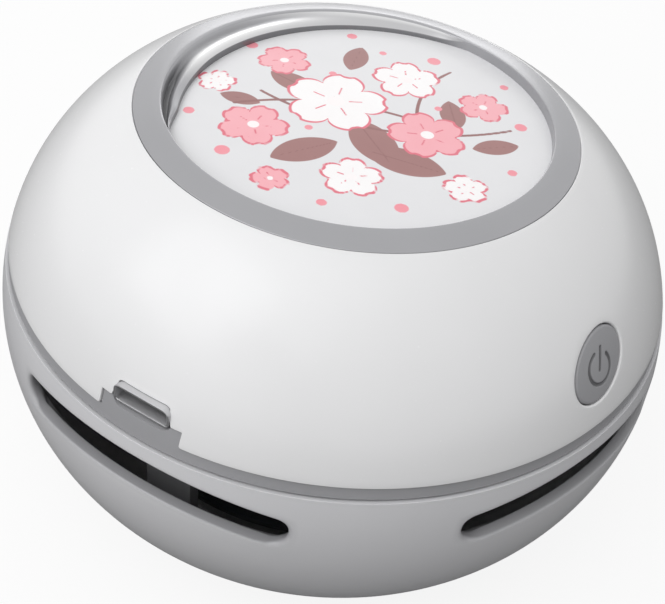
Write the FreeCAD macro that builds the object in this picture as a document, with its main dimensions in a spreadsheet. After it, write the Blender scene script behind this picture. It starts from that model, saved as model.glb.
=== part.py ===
import FreeCAD, Part
import math
import os

import Sketcher

# Desktop mini vacuum cleaner: a round two-part body that stands on four feet.
# Millimetres, +Z up, the origin on the table under the middle of the body.
# Azimuths count from -Y, where the charging socket is, towards +X.

doc = FreeCAD.newDocument("desk_vacuum")
sheet = doc.addObject("Spreadsheet::Sheet", "Sizes")

# Driving sizes: alias, value
SIZES = [
    # Outer form
    ("body_radius", 44.0),
    ("upper_arc", 32.0),
    ("lower_arc", 30.0),
    ("equator", 27.5),
    ("wall", 2.0),
    ("base_height", 2.2),
    ("seam_top", 37.5),
    ("band_top", 37.35),
    ("band_bottom", 35.95),
    ("rim_top", 35.7),
    ("band_inset", 0.3),
    # Top trim and printed disc
    ("ring_outer", 26.75),
    ("ring_gap", 0.2),
    ("ring_edge", 55.8),
    ("shell_edge", 55.6),
    ("ring_inner", 23.5),
    ("ring_top", 56.45),
    ("well_depth", 1.35),
    ("scoop_depth", 0.35),
    ("scoop_radius", 24.5),
    ("scoop_shift", 4.0),
    ("scoop_round", 0.5),
    ("scoop_bow", 0.8),
    ("valley_depth", 1.0),
    ("valley_wide", 0.7),
    ("ring_root", 0.5),
    ("disc_radius", 24.4),
    ("disc_thick", 1.0),
    ("dish_thick", 1.6),
    # Power button and its switch
    ("button_height", 43.85),
    ("button_long", 4.8),
    ("button_short", 3.95),
    ("button_gap", 0.15),
    ("button_back", 3.6),
    ("flange_front", 2.4),
    ("flange_rim", 0.9),
    ("stem_radius", 1.3),
    ("stem_end", 4.4),
    ("plunger_radius", 1.6),
    ("plunger_end", 5.2),
    ("switch_front", 6.0),
    ("switch_back", 7.5),
    ("switch_wide", 5.2),
    ("mark_depth", 0.25),
    ("mark_radius", 1.9),
    ("mark_wide", 0.42),
    ("panel_long", 19.0),
    ("panel_high", 5.8),
    ("panel_thick", 0.8),
    ("panel_hole", 8.0),
    ("panel_post", 1.5),
    ("panel_screw", 0.6),
    ("panel_head", 1.2),
    # Charging socket
    ("port_height", 39.8),
    ("port_wide", 7.3),
    ("port_tall", 2.65),
    ("port_corner", 1.0),
    ("port_inner_corner", 0.3),
    ("port_sheet", 0.33),
    ("port_mouth", 41.2),
    ("port_deep", 5.6),
    ("port_gap", 0.2),
    ("tongue_wide", 3.7),
    ("tongue_thick", 0.6),
    ("tab_wide", 10.2),
    ("tab_top", 39.15),
    ("tab_gap", 0.15),
    # Exhaust slots
    ("slot_count", 5),
    ("slot_long", 35.6),
    ("slot_tall", 4.3),
    ("slot_height", 31.65),
    ("slot_bow", 91.0),
    ("slot_wall", 1.1),
    ("thin_top", 34.4),
    # Middle frame
    ("deck_top", 36.4),
    ("deck_bottom", 35.0),
    ("spigot_radius", 40.45),
    ("spigot_wall", 1.5),
    ("spigot_bottom", 33.9),
    ("leg_wide", 6.4),
    ("leg_thick", 1.6),
    ("leg_reach", 36.3),
    ("leg_bottom", 15.0),
    ("leg_count", 3),
    ("boss_reach", 36.6),
    ("boss_radius", 2.4),
    ("boss_count", 4),
    ("screw_core", 0.95),
    ("screw_hole", 1.2),
    ("screw_head", 1.9),
    ("screw_head_high", 1.1),
    ("screw_long", 6.0),
    ("cross_wide", 0.5),
    ("cross_long", 2.2),
    ("cross_deep", 0.7),
    # Motor
    ("cushion_thick", 0.8),
    ("motor_radius", 12.2),
    ("motor_long", 12.4),
    ("can_sheet", 0.8),
    ("end_cap_thick", 2.2),
    ("snout_radius", 3.0),
    ("shaft_radius", 1.0),
    ("shaft_bottom", 29.6),
    ("shaft_clear", 0.03),
    ("bushing_radius", 2.4),
    ("magnet_thick", 2.0),
    ("armature_radius", 8.6),
    ("motor_screw_reach", 8.0),
    # Impeller and its intake plate
    ("impeller_radius", 23.0),
    ("impeller_bottom", 29.3),
    ("impeller_plate_low", 32.5),
    ("impeller_top", 33.5),
    ("hub_radius", 3.6),
    ("blade_count", 9),
    ("blade_start", 7.0),
    ("blade_bend", 17.0),
    ("plate_radius", 29.5),
    ("plate_bottom", 27.8),
    ("plate_top", 28.7),
    ("eye_radius", 9.5),
    ("post_reach", 26.3),
    ("post_radius", 2.9),
    ("post_count", 3),
    # Dust cup, nozzle and filter
    ("cup_floor", 4.4),
    ("cup_wall", 1.3),
    ("cup_foot_radius", 27.5),
    ("cup_radius", 31.0),
    ("cup_bend", 12.0),
    ("cup_rim", 25.0),
    ("inlet_radius", 8.0),
    ("inlet_wall", 1.3),
    ("inlet_top", 15.5),
    ("nozzle_bore", 9.0),
    ("nozzle_neck", 10.8),
    ("nozzle_flange", 14.0),
    ("nozzle_bottom", 1.4),
    ("nozzle_top", 6.0),
    ("nozzle_gap", 0.1),
    ("filter_outer", 29.4),
    ("filter_flange", 31.0),
    ("filter_flange_low", 25.3),
    ("filter_flange_top", 26.3),
    ("filter_low", 20.5),
    ("filter_wall", 1.4),
    ("pleat_pitch", 3.2),
    ("pleat_count", 17),
    ("pleat_high", 3.8),
    ("pleat_thick", 0.6),
    ("seal_top", 27.5),
    ("seal_wide", 2.0),
    ("grip_wide", 2.0),
    # Feet
    ("tuft_count", 24),
    ("tuft_radius", 0.6),
    ("tuft_reach", 12.5),
    ("tuft_sink", 0.5),
    ("tuft_bottom", 0.2),
    ("foot_radius", 3.6),
    ("foot_reach", 24.0),
    ("foot_sink", 0.6),
    ("foot_count", 4),
    # Circuit board and battery
    ("board_thick", 1.0),
    ("board_inner", 15.0),
    ("board_outer", 29.8),
    ("board_hole", 1.1),
    ("tail_wide", 10.0),
    ("tail_reach", 39.4),
    ("tail_room", 0.2),
    ("battery_radius", 7.0),
    ("battery_long", 41.5),
    ("battery_reach", 19.6),
    ("battery_height", 43.7),
    ("cradle_wall", 1.2),
    ("cradle_top", 41.0),
    ("lead_radius", 0.55),
    ("lead_bend", 1.5),
    ("terminal_reach", 8.0),
    ("terminal_space", 2.0),
    ("plug_high", 4.0),
    ("plug_reach", 18.6),
    ("guard_thick", 1.1),
]
BUTTON_AZ = 75.0
BUTTON_LEAN = 24.0
MARK_LEAN = -20.0
SCOOP_AZ = -110.0
BOSS_AZ = 45.0
LEG_AZ = 0.0
POST_AZ = 57.0
MOTOR_SCREW_AZ = 37.0
FOOT_AZ = 45.0
BATTERY_AZ = 217.0
PLUG_AZ = -14.0
BOARD_START_AZ = -26.0
BOARD_SPAN = 126.0
BOARD_SCREWS = [(-17.0, 24.0), (37.0, 24.0), (93.0, 18.5)]
BLADE_SWEEP = 52.0


class Term:
    """A size: its number and the sheet expression that gives it."""

    def __init__(self, value, text):
        self.value = float(value)
        self.text = text

    def join(self, sign, other, value, turned=False):
        other_text = other.text if isinstance(other, Term) else repr(float(other))
        first, last = (other_text, self.text) if turned else (self.text, other_text)
        return Term(value, "(%s %s %s)" % (first, sign, last))

    def __add__(self, other):
        return self.join("+", other, self.value + number(other))

    def __sub__(self, other):
        return self.join("-", other, self.value - number(other))

    def __mul__(self, other):
        return self.join("*", other, self.value * number(other))

    def __truediv__(self, other):
        return self.join("/", other, self.value / number(other))

    def __rsub__(self, other):
        return self.join("-", other, number(other) - self.value, turned=True)

    def __neg__(self):
        return Term(-self.value, "(0 - %s)" % self.text)

    __radd__ = __add__
    __rmul__ = __mul__


def number(term):
    """The plain number of a term or of a number."""
    return term.value if isinstance(term, Term) else float(term)


def root(term):
    """The square root of a term."""
    return Term(math.sqrt(term.value), "sqrt(%s)" % term.text)


class Names:
    """The sheet's sizes by name."""


s = Names()
for row, (alias, value) in enumerate(SIZES, start=1):
    sheet.set("A%d" % row, alias.replace("_", " "))
    sheet.set("B%d" % row, repr(float(value)))
    sheet.setAlias("B%d" % row, alias)
    setattr(s, alias, Term(value, "Sizes.%s" % alias))
doc.recompute()
s.board_low = s.port_height - s.port_tall / 2 - s.board_thick

nodes = []


def bind(obj, prop, term):
    """Ties a property to the sheet."""
    if isinstance(term, Term):
        obj.setExpression(prop, term.text)
    else:
        obj.setExpression(prop, repr(float(term)))


def node(obj, name):
    """Names an object as a piece of its own."""
    obj.Label = name
    nodes.append(obj)
    return obj


def turned(azimuth, reach=0.0, height=0.0):
    """Turns a piece made on the -Y side to an azimuth, moved outwards and up."""
    turn = FreeCAD.Rotation(FreeCAD.Vector(0, 0, 1), azimuth)
    way = turn.multVec(FreeCAD.Vector(0, -1, 0))
    return FreeCAD.Placement(way * number(reach) + FreeCAD.Vector(0, 0, number(height)), turn)


def on_dome(azimuth, height, sink=0.0):
    """Stands a piece on the dome: its own +Z is the dome's outward normal there, its +Y points up
    along the dome, and sink moves it inwards along the normal."""
    rise = math.asin((number(height) - s.equator.value) / s.upper_arc.value)
    turn = FreeCAD.Rotation(FreeCAD.Vector(0, 0, 1), azimuth)
    lay = FreeCAD.Rotation(FreeCAD.Vector(1, 0, 0), 90 - math.degrees(rise))
    reach = s.upper_arc.value - number(sink)
    out = s.body_radius.value - s.upper_arc.value + reach * math.cos(rise)
    up = s.equator.value + reach * math.sin(rise)
    return FreeCAD.Placement(turn.multVec(FreeCAD.Vector(0, -out, up)), turn * lay)


def oval(long_half, short_half, height, place):
    """An upright oval column, leaning about its own +Z."""
    edge = doc.addObject("Part::Ellipse", "Oval")
    bind(edge, "MajorRadius", long_half)
    bind(edge, "MinorRadius", short_half)
    solid = doc.addObject("Part::Extrusion", "OvalColumn")
    solid.Base = edge
    solid.DirMode = "Normal"
    solid.Solid = True
    bind(solid, "LengthFwd", height)
    lean = FreeCAD.Placement(FreeCAD.Vector(0, 0, 0), FreeCAD.Rotation(FreeCAD.Vector(0, 0, 1), BUTTON_LEAN))
    solid.Placement = place * lean
    return solid


def arc_radius(height, inset=0.0):
    """Radius of the body's outer form, or of a form inset from it, at a height."""
    upper = height.value >= s.equator.value
    arc = s.upper_arc if upper else s.lower_arc
    rise = height - s.equator
    run = arc - inset
    return s.body_radius - arc + root(run * run - rise * rise)


def new_body(name):
    """A solid made of sketches and features."""
    return doc.addObject("PartDesign::Body", name)


def new_sketch(body, role, shift=None):
    """A sketch on one of the body's own origin planes, moved along the plane's normal."""
    sketch = body.newObject("Sketcher::SketchObject", "Sketch")
    support = [item for item in body.Origin.OriginFeatures if item.Role == role][0]
    sketch.AttachmentSupport = (support, [""])
    sketch.MapMode = "FlatFace"
    if shift is not None:
        bind(sketch, "AttachmentOffset.Base.z", shift)
    return sketch


def pin_point(sketch, side, end, point):
    """Holds one end of a side at a point whose coordinates come from the sheet."""
    for kind, axis, term in (("DistanceX", -2, point[0]), ("DistanceY", -1, point[1])):
        if abs(number(term)) < 1e-9:
            sketch.addConstraint(Sketcher.Constraint("PointOnObject", side, end, axis))
            continue
        index = sketch.addConstraint(Sketcher.Constraint(kind, -1, 1, side, end, number(term)))
        bind(sketch, "Constraints[%d]" % index, term)


def draw(sketch, points, arcs=None):
    """Closes an outline through the points. arcs gives, for a side's number, its radius and
    whether its centre lies on the left of the way along it."""
    arcs = arcs or {}
    starts = []
    for index, point in enumerate(points):
        after = points[(index + 1) % len(points)]
        a = FreeCAD.Vector(number(point[0]), number(point[1]), 0)
        b = FreeCAD.Vector(number(after[0]), number(after[1]), 0)
        if index not in arcs:
            side = sketch.addGeometry(Part.LineSegment(a, b), False)
            starts.append((side, 1, 2))
            continue
        radius, left = arcs[index]
        half = (b - a).Length / 2
        along = (b - a).normalize()
        across = FreeCAD.Vector(-along.y, along.x, 0) * (1 if left else -1)
        reach = math.sqrt(max(number(radius) ** 2 - half ** 2, 0.0))
        centre = (a + b) * 0.5 + across * reach
        first, last = (a, b) if left else (b, a)
        begin = math.atan2(first.y - centre.y, first.x - centre.x)
        finish = math.atan2(last.y - centre.y, last.x - centre.x)
        circle = Part.Circle(centre, FreeCAD.Vector(0, 0, 1), number(radius))
        side = sketch.addGeometry(Part.ArcOfCircle(circle, begin, finish), False)
        starts.append((side, 1, 2) if left else (side, 2, 1))
    for index, (side, begin, finish) in enumerate(starts):
        after = starts[(index + 1) % len(starts)]
        sketch.addConstraint(Sketcher.Constraint("Coincident", side, finish, after[0], after[1]))
        pin_point(sketch, side, begin, points[index])
    for index, (radius, left) in arcs.items():
        held = sketch.addConstraint(Sketcher.Constraint("Radius", starts[index][0], number(radius)))
        bind(sketch, "Constraints[%d]" % held, radius)


def ring_sketch(sketch, radius, centre=(0.0, 0.0)):
    """A circle in a sketch."""
    spot = FreeCAD.Vector(number(centre[0]), number(centre[1]), 0)
    circle = Part.Circle(spot, FreeCAD.Vector(0, 0, 1), number(radius))
    side = sketch.addGeometry(circle, False)
    pin_point(sketch, side, 3, centre)
    held = sketch.addConstraint(Sketcher.Constraint("Radius", side, number(radius)))
    bind(sketch, "Constraints[%d]" % held, radius)


def revolve(body, points, arcs=None, cut=False):
    """Turns an outline of radius and height about the Z axis, to add or to cut."""
    sketch = new_sketch(body, "XZ_Plane")
    draw(sketch, points, arcs)
    feature = body.newObject("PartDesign::Groove" if cut else "PartDesign::Revolution", "Turned")
    feature.Profile = sketch
    feature.ReferenceAxis = (sketch, ["V_Axis"])
    feature.Angle = 360
    return feature


def pad(body, sketch, length):
    """Raises a sketch along its normal."""
    feature = body.newObject("PartDesign::Pad", "Pad")
    feature.Profile = sketch
    bind(feature, "Length", length)
    return feature


def pocket(body, sketch, length, outwards=False):
    """Cuts a sketch against its normal, or along it."""
    feature = body.newObject("PartDesign::Pocket", "Pocket")
    feature.Profile = sketch
    feature.Reversed = outwards
    bind(feature, "Length", length)
    return feature


def around(body, features, count):
    """Repeats features evenly about the Z axis."""
    pattern = body.newObject("PartDesign::PolarPattern", "Pattern")
    pattern.Originals = features
    axis = [item for item in body.Origin.OriginFeatures if item.Role == "Z_Axis"][0]
    pattern.Axis = (axis, [""])
    pattern.Angle = 360
    pattern.Occurrences = int(number(count))
    body.Tip = pattern
    return pattern


def collar(name, inner, outer, low, high):
    """A plain ring about the Z axis."""
    body = new_body(name)
    revolve(body, [(inner, low), (outer, low), (outer, high), (inner, high)])
    return body


def cylinder(radius, height, place=None):
    """A cylinder whose sizes come from the sheet."""
    solid = doc.addObject("Part::Cylinder", "Cylinder")
    bind(solid, "Radius", radius)
    bind(solid, "Height", height)
    if place is not None:
        solid.Placement = place
    return solid


def block(wide, deep, high, place=None):
    """A block centred on its own X and Y, whose sizes come from the sheet."""
    solid = doc.addObject("Part::Box", "Box")
    bind(solid, "Length", wide)
    bind(solid, "Width", deep)
    bind(solid, "Height", high)
    centre = FreeCAD.Placement(FreeCAD.Vector(-number(wide) / 2, -number(deep) / 2, 0), FreeCAD.Rotation())
    solid.Placement = (place or FreeCAD.Placement()) * centre
    return solid


def fuse(parts):
    """One solid of several that meet."""
    feature = doc.addObject("Part::MultiFuse", "Fused")
    feature.Shapes = parts
    return feature


def common(first, second):
    """What two solids share."""
    feature = doc.addObject("Part::MultiCommon", "Shared")
    feature.Shapes = [first, second]
    return feature


def cut(base, tool):
    """A solid less another."""
    feature = doc.addObject("Part::Cut", "Cut")
    feature.Base = base
    feature.Tool = tool
    return feature


def group(parts):
    """Like pieces kept together as separate solids."""
    feature = doc.addObject("Part::Compound", "Group")
    feature.Links = parts
    return feature


def at(x=0.0, y=0.0, z=0.0):
    """A plain shift."""
    return FreeCAD.Placement(FreeCAD.Vector(number(x), number(y), number(z)), FreeCAD.Rotation())


def slot_outline(wide, tall, corner, height):
    """Corners and arcs of an upright opening with rounded corners, centred on x 0."""
    x = wide / 2
    low = height - tall / 2
    high = height + tall / 2
    points = [(corner - x, low), (x - corner, low), (x, low + corner), (x, high - corner),
              (x - corner, high), (corner - x, high), (-x, high - corner), (-x, low + corner)]
    arcs = {1: (corner, True), 3: (corner, True), 5: (corner, True), 7: (corner, True)}
    return points, arcs


def bowed_outline(long, tall, height, bow):
    """Ends and arcs of a long slot with round ends that arches up in the middle, centred on x 0.
    Its middle line is an arc of radius bow, and height is that line's height at x 0."""
    half = tall / 2
    centre = height - bow
    end = long / 2 - half
    rise = root(bow * bow - end * end)
    across = end / bow * half
    along = rise / bow * half
    low = (end - across, centre + rise - along)
    high = (end + across, centre + rise + along)
    points = [(-low[0], low[1]), low, high, (-high[0], high[1])]
    cap = tall * 0.502
    arcs = {0: (bow - half, False), 1: (cap, True), 2: (bow + half, True), 3: (cap, True)}
    return points, arcs


def dome_form(inset=0.0):
    """The outer form above the deck, filled, inset evenly, for trimming what follows the dome."""
    body = new_body("DomeForm")
    top = s.shell_edge
    low = s.deck_top
    points = [(0, low), (arc_radius(low, inset), low), (arc_radius(top, inset), top), (0, top)]
    revolve(body, points, {1: (s.upper_arc - inset, True)})
    return body


def socket_opening():
    """The room that shell and frame leave for the charging socket: its outline plus a gap."""
    opening = new_body("SocketOpening")
    sketch = new_sketch(opening, "XZ_Plane", s.board_outer)
    gap = s.port_gap
    draw(sketch, *slot_outline(
        s.port_wide + gap * 2, s.port_tall + gap * 2, s.port_corner + gap, s.port_height))
    pad(opening, sketch, s.body_radius - s.board_outer)
    return opening


def make_upper_shell():
    """White dome with a recessed top, a button opening, a socket opening and screw bosses."""
    body = new_body("UpperShellForm")
    seam = s.seam_top
    top = s.shell_edge
    disc_top = s.ring_top - s.well_depth
    floor = disc_top - s.disc_thick
    under = floor - s.dish_thick
    seat = s.ring_outer + s.ring_gap
    well = s.disc_radius + s.ring_gap
    inner_top = under
    points = [
        (arc_radius(seam, s.wall), seam), (arc_radius(seam), seam),
        (arc_radius(top), top), (seat, top), (seat, disc_top), (well, disc_top),
        (well, floor), (0, floor), (0, under), (arc_radius(inner_top, s.wall), inner_top),
    ]
    revolve(body, points, {1: (s.upper_arc, True), 9: (s.upper_arc - s.wall, False)})
    form = dome_form()
    adds = [body]
    for turn in range(int(s.boss_count.value)):
        place = turned(BOSS_AZ + turn * 360.0 / s.boss_count.value, s.boss_reach, s.deck_top)
        adds.append(common(cylinder(s.boss_radius, s.ring_top - s.deck_top, place), form))
    for side in (-s.panel_hole, s.panel_hole):
        place = on_dome(BUTTON_AZ, s.button_height, s.switch_back) * at(side, 0, 0)
        adds.append(common(cylinder(s.panel_post, s.switch_back, place), form))
    solid = fuse(adds)
    deep = s.wall + 2.0
    tools = [oval(s.button_long + s.button_gap, s.button_short + s.button_gap, deep + 2.0,
                  on_dome(BUTTON_AZ, s.button_height, deep))]
    for side in (-s.panel_hole, s.panel_hole):
        place = on_dome(BUTTON_AZ, s.button_height, s.switch_back + 1) * at(side, 0, 0)
        tools.append(cylinder(s.panel_screw, 5, place))
    for turn in range(int(s.boss_count.value)):
        place = turned(BOSS_AZ + turn * 360.0 / s.boss_count.value, s.boss_reach, s.deck_bottom)
        tools.append(cylinder(s.screw_core, s.screw_long + 0.5, place))
    tools.append(socket_opening())
    notch = s.tab_wide + s.tab_gap * 2
    tools.append(block(notch, s.body_radius - s.board_outer, s.tab_top + s.tab_gap - s.seam_top + 1,
                       at(0, -(s.body_radius + s.board_outer) / 2, s.seam_top - 1)))
    return node(cut(solid, fuse(tools)), "upper_shell")


def make_top_ring():
    """Grey trim around the printed disc, with a crescent finger ledge behind a narrow valley."""
    low = s.ring_top - s.well_depth
    rim = new_body("RingForm")
    revolve(rim, [
        (s.ring_inner, low), (s.ring_outer, low), (s.ring_outer, s.ring_edge), (s.ring_inner, s.ring_top),
    ])
    ledge = s.ring_top - s.scoop_depth
    inner = s.scoop_radius - s.scoop_shift * 1.5
    root = s.ring_inner + s.ring_root
    valley = s.ring_top - s.valley_depth
    bank = s.ring_inner - s.valley_wide
    shelf = new_body("LedgeForm")
    revolve(shelf, [
        (inner, low), (root, low), (root, valley), (bank, valley), (bank, ledge - s.scoop_round),
        (bank - s.scoop_round, ledge), (inner, ledge),
    ], {4: (s.scoop_bow, True)})
    opening = cylinder(s.scoop_radius, s.well_depth * 2, turned(SCOOP_AZ + 180, s.scoop_shift, low - 1))
    return node(fuse([rim, cut(shelf, opening)]), "top_ring")


def make_decor_disc():
    """Thin printed disc under the trim."""
    low = s.ring_top - s.well_depth - s.disc_thick
    return node(cylinder(s.disc_radius, s.disc_thick, at(0, 0, low)), "decor_disc")


def make_mid_frame():
    """Grey frame: the band at the seam, the deck that carries motor and board, and its legs."""
    body = new_body("FrameForm")
    low = s.band_bottom
    high = s.band_top
    outer_low = arc_radius(low, s.band_inset)
    outer_high = arc_radius(high, s.band_inset)
    inner = s.spigot_radius - s.spigot_wall
    boss = s.snout_radius + 0.1
    points = [
        (boss, s.deck_bottom), (inner, s.deck_bottom), (inner, s.spigot_bottom),
        (s.spigot_radius, s.spigot_bottom), (s.spigot_radius, low), (outer_low, low),
        (outer_high, high), (s.spigot_radius, high), (s.spigot_radius - 1, s.deck_top), (boss, s.deck_top),
    ]
    revolve(body, points, {5: (s.upper_arc - s.band_inset, True)})
    parts = [body]
    for turn in range(int(s.leg_count.value)):
        place = turned(LEG_AZ + turn * 360.0 / s.leg_count.value, s.leg_reach, s.leg_bottom)
        parts.append(block(s.leg_wide, s.leg_thick, s.deck_top - s.leg_bottom, place))
    deep = s.body_radius - s.spigot_radius + 3
    bar = block(s.tab_wide, deep, s.tab_top - s.deck_top,
                at(0, -(s.body_radius - deep / 2), s.deck_top))
    parts.append(common(bar, dome_form(s.band_inset)))
    for azimuth, reach in BOARD_SCREWS:
        parts.append(cylinder(s.screw_head + 0.4, s.board_low - s.deck_top + 0.5,
                              turned(azimuth, reach, s.deck_top - 0.5)))
    solid = fuse(parts)
    tools = [socket_opening()]
    for turn in range(int(s.boss_count.value)):
        azimuth = BOSS_AZ + turn * 360.0 / s.boss_count.value
        tools.append(cylinder(s.screw_hole, 4, turned(azimuth, s.boss_reach, s.deck_bottom - 1)))
    for side in (0, 180):
        place = turned(MOTOR_SCREW_AZ + side, s.motor_screw_reach, s.deck_bottom - 1)
        tools.append(cylinder(s.screw_hole, 4, place))
    for turn in range(int(s.post_count.value)):
        azimuth = POST_AZ + turn * 360.0 / s.post_count.value
        tools.append(cylinder(s.screw_core, 4, turned(azimuth, s.post_reach, s.deck_bottom - 1)))
    for azimuth, reach in BOARD_SCREWS:
        tools.append(cylinder(s.screw_core, 6, turned(azimuth, reach, s.deck_bottom - 1)))
    tail_end = s.tail_reach + s.tail_room
    tools.append(block(s.tail_wide + s.tail_room * 2, 6, 3, at(0, -(tail_end - 3), s.board_low - 0.1)))
    return node(cut(solid, fuse(tools)), "mid_frame")


def make_lower_shell():
    """Light grey bowl, thinner where the exhaust slots are, with the nozzle's opening and foot recesses."""
    body = new_body("LowerShellForm")
    rim = s.rim_top
    base = s.base_height
    floor = s.base_height + s.wall
    hole = s.nozzle_neck + s.nozzle_gap
    equator_in = s.body_radius - s.wall
    points = [
        (hole, base), (arc_radius(base), base), (s.body_radius, s.equator), (arc_radius(rim), rim),
        (arc_radius(rim, s.wall), rim), (equator_in, s.equator),
        (arc_radius(floor, s.wall), floor), (hole, floor),
    ]
    arcs = {1: (s.lower_arc, True), 2: (s.upper_arc, True), 4: (s.upper_arc - s.wall, False),
            5: (s.lower_arc - s.wall, False)}
    revolve(body, points, arcs)
    revolve(body, [
        (equator_in - 0.5, s.equator), (s.body_radius - s.slot_wall, s.equator),
        (arc_radius(s.thin_top, s.slot_wall), s.thin_top),
        (arc_radius(s.thin_top, s.wall) - 0.5, s.thin_top),
    ], {1: (s.upper_arc - s.slot_wall, True)}, cut=True)
    sketch = new_sketch(body, "XZ_Plane", s.cup_radius)
    draw(sketch, *bowed_outline(s.slot_long, s.slot_tall, s.slot_height, s.slot_bow))
    slot = pocket(body, sketch, s.body_radius, outwards=True)
    around(body, [slot], s.slot_count)
    feet = new_sketch(body, "XY_Plane", s.base_height)
    across = number(s.foot_reach) * math.sin(math.radians(FOOT_AZ))
    share = across / number(s.foot_reach)
    ring_sketch(feet, s.foot_radius + 0.1, (s.foot_reach * share, -s.foot_reach * share))
    sunk = pocket(body, feet, s.foot_sink + 0.1, outwards=True)
    around(body, [sunk], s.foot_count)
    return node(body, "lower_shell")


def make_feet():
    """Four rubber pads let into the base."""
    pads = []
    for turn in range(int(s.foot_count.value)):
        azimuth = FOOT_AZ + turn * 360.0 / s.foot_count.value
        pads.append(cylinder(s.foot_radius, s.base_height + s.foot_sink, turned(azimuth, s.foot_reach, 0)))
    return node(group(pads), "rubber_feet")


def make_nozzle():
    """Suction nozzle: a flanged tube through the base, with a ring of bristle tufts."""
    body = new_body("Nozzle")
    points = [
        (s.nozzle_bore, s.nozzle_bottom), (s.nozzle_flange - 0.6, s.nozzle_bottom),
        (s.nozzle_flange, s.nozzle_bottom + 0.5), (s.nozzle_flange, s.base_height),
        (s.nozzle_neck, s.base_height), (s.nozzle_neck, s.nozzle_top), (s.nozzle_bore, s.nozzle_top),
    ]
    revolve(body, points)
    holes = new_sketch(body, "XY_Plane", s.nozzle_bottom)
    ring_sketch(holes, s.tuft_radius, (s.tuft_reach, 0.0))
    hole = pocket(body, holes, s.tuft_sink, outwards=True)
    around(body, [hole], s.tuft_count)
    node(body, "suction_nozzle")
    tufts = []
    for turn in range(int(s.tuft_count.value)):
        azimuth = 90 + turn * 360.0 / s.tuft_count.value
        place = turned(azimuth, s.tuft_reach, s.tuft_bottom)
        tufts.append(cylinder(s.tuft_radius, s.nozzle_bottom + s.tuft_sink - s.tuft_bottom, place))
    node(group(tufts), "brush_ring")


def make_dust_cup():
    """Smoky cup with an inlet tube that stands up from its floor."""
    body = new_body("DustCup")
    low = s.cup_floor
    high = s.cup_floor + s.cup_wall
    tube = s.inlet_radius + s.inlet_wall
    hole = s.nozzle_neck + s.nozzle_gap
    points = [
        (hole, low), (s.cup_foot_radius, low), (s.cup_radius, s.cup_bend), (s.cup_radius, s.cup_rim),
        (s.cup_radius - s.cup_wall, s.cup_rim), (s.cup_radius - s.cup_wall, s.cup_bend),
        (s.cup_foot_radius - s.cup_wall, high), (hole + s.cup_wall, high),
        (hole + s.cup_wall, s.nozzle_top + 1.4),
        (tube, s.nozzle_top + 2.6), (tube, s.inlet_top), (s.inlet_radius, s.inlet_top),
        (s.inlet_radius, s.nozzle_top + 0.1), (hole, s.nozzle_top + 0.1),
    ]
    revolve(body, points)
    return node(body, "dust_cup")


def make_filter():
    """Filter frame with a pull bar, the pleated paper in it and the seal on top."""
    frame = new_body("FilterFrame")
    inner = s.filter_outer - s.filter_wall
    points = [
        (inner - 1.2, s.filter_low), (s.filter_outer, s.filter_low), (s.filter_outer, s.filter_flange_low),
        (s.filter_flange, s.filter_flange_low), (s.filter_flange, s.filter_flange_top),
        (inner, s.filter_flange_top), (inner, s.filter_low + 0.9), (inner - 1.2, s.filter_low + 0.9),
    ]
    revolve(frame, points)
    bar_low = s.filter_flange_top - 1.0
    bar = common(block(s.grip_wide, s.filter_flange * 2, 1.0, at(0, 0, bar_low)),
                 cylinder(inner + 0.5, 1.0, at(0, 0, bar_low)))
    node(fuse([frame, bar]), "filter_frame")

    pleat = new_body("Pleat")
    sketch = new_sketch(pleat, "XZ_Plane")
    half = s.pleat_pitch / 2
    start = -s.pleat_pitch * (s.pleat_count.value / 2)
    low = s.filter_low + 0.9
    high = low + s.pleat_high
    lap = 0.05
    draw(sketch, [
        (start - lap, low), (start + lap, low), (start + half, high - s.pleat_thick),
        (start + s.pleat_pitch - lap, low), (start + s.pleat_pitch + lap, low),
        (start + s.pleat_pitch + lap, low + s.pleat_thick), (start + half, high),
        (start - lap, low + s.pleat_thick),
    ])
    sheet_pad = pad(pleat, sketch, s.filter_outer * 2)
    sheet_pad.Midplane = True
    row = pleat.newObject("PartDesign::LinearPattern", "Pleats")
    row.Originals = [sheet_pad]
    axis = [item for item in pleat.Origin.OriginFeatures if item.Role == "X_Axis"][0]
    row.Direction = (axis, [""])
    bind(row, "Length", s.pleat_pitch * (s.pleat_count.value - 1))
    row.Occurrences = int(s.pleat_count.value)
    pleat.Tip = row
    node(common(pleat, cylinder(inner, s.pleat_high, at(0, 0, low))), "filter_media")

    seal = new_body("Seal")
    middle = s.filter_flange - s.seal_wide / 2 - 0.4
    seal_half = s.seal_wide / 2
    points = [
        (middle - seal_half, s.filter_flange_top), (middle + seal_half, s.filter_flange_top),
        (middle + seal_half, s.seal_top - 0.6), (middle + seal_half - 0.6, s.seal_top),
        (middle - seal_half + 0.6, s.seal_top), (middle - seal_half, s.seal_top - 0.6),
    ]
    revolve(seal, points, {2: (Term(0.6, "0.6"), True), 4: (Term(0.6, "0.6"), True)})
    node(seal, "filter_seal")


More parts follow.
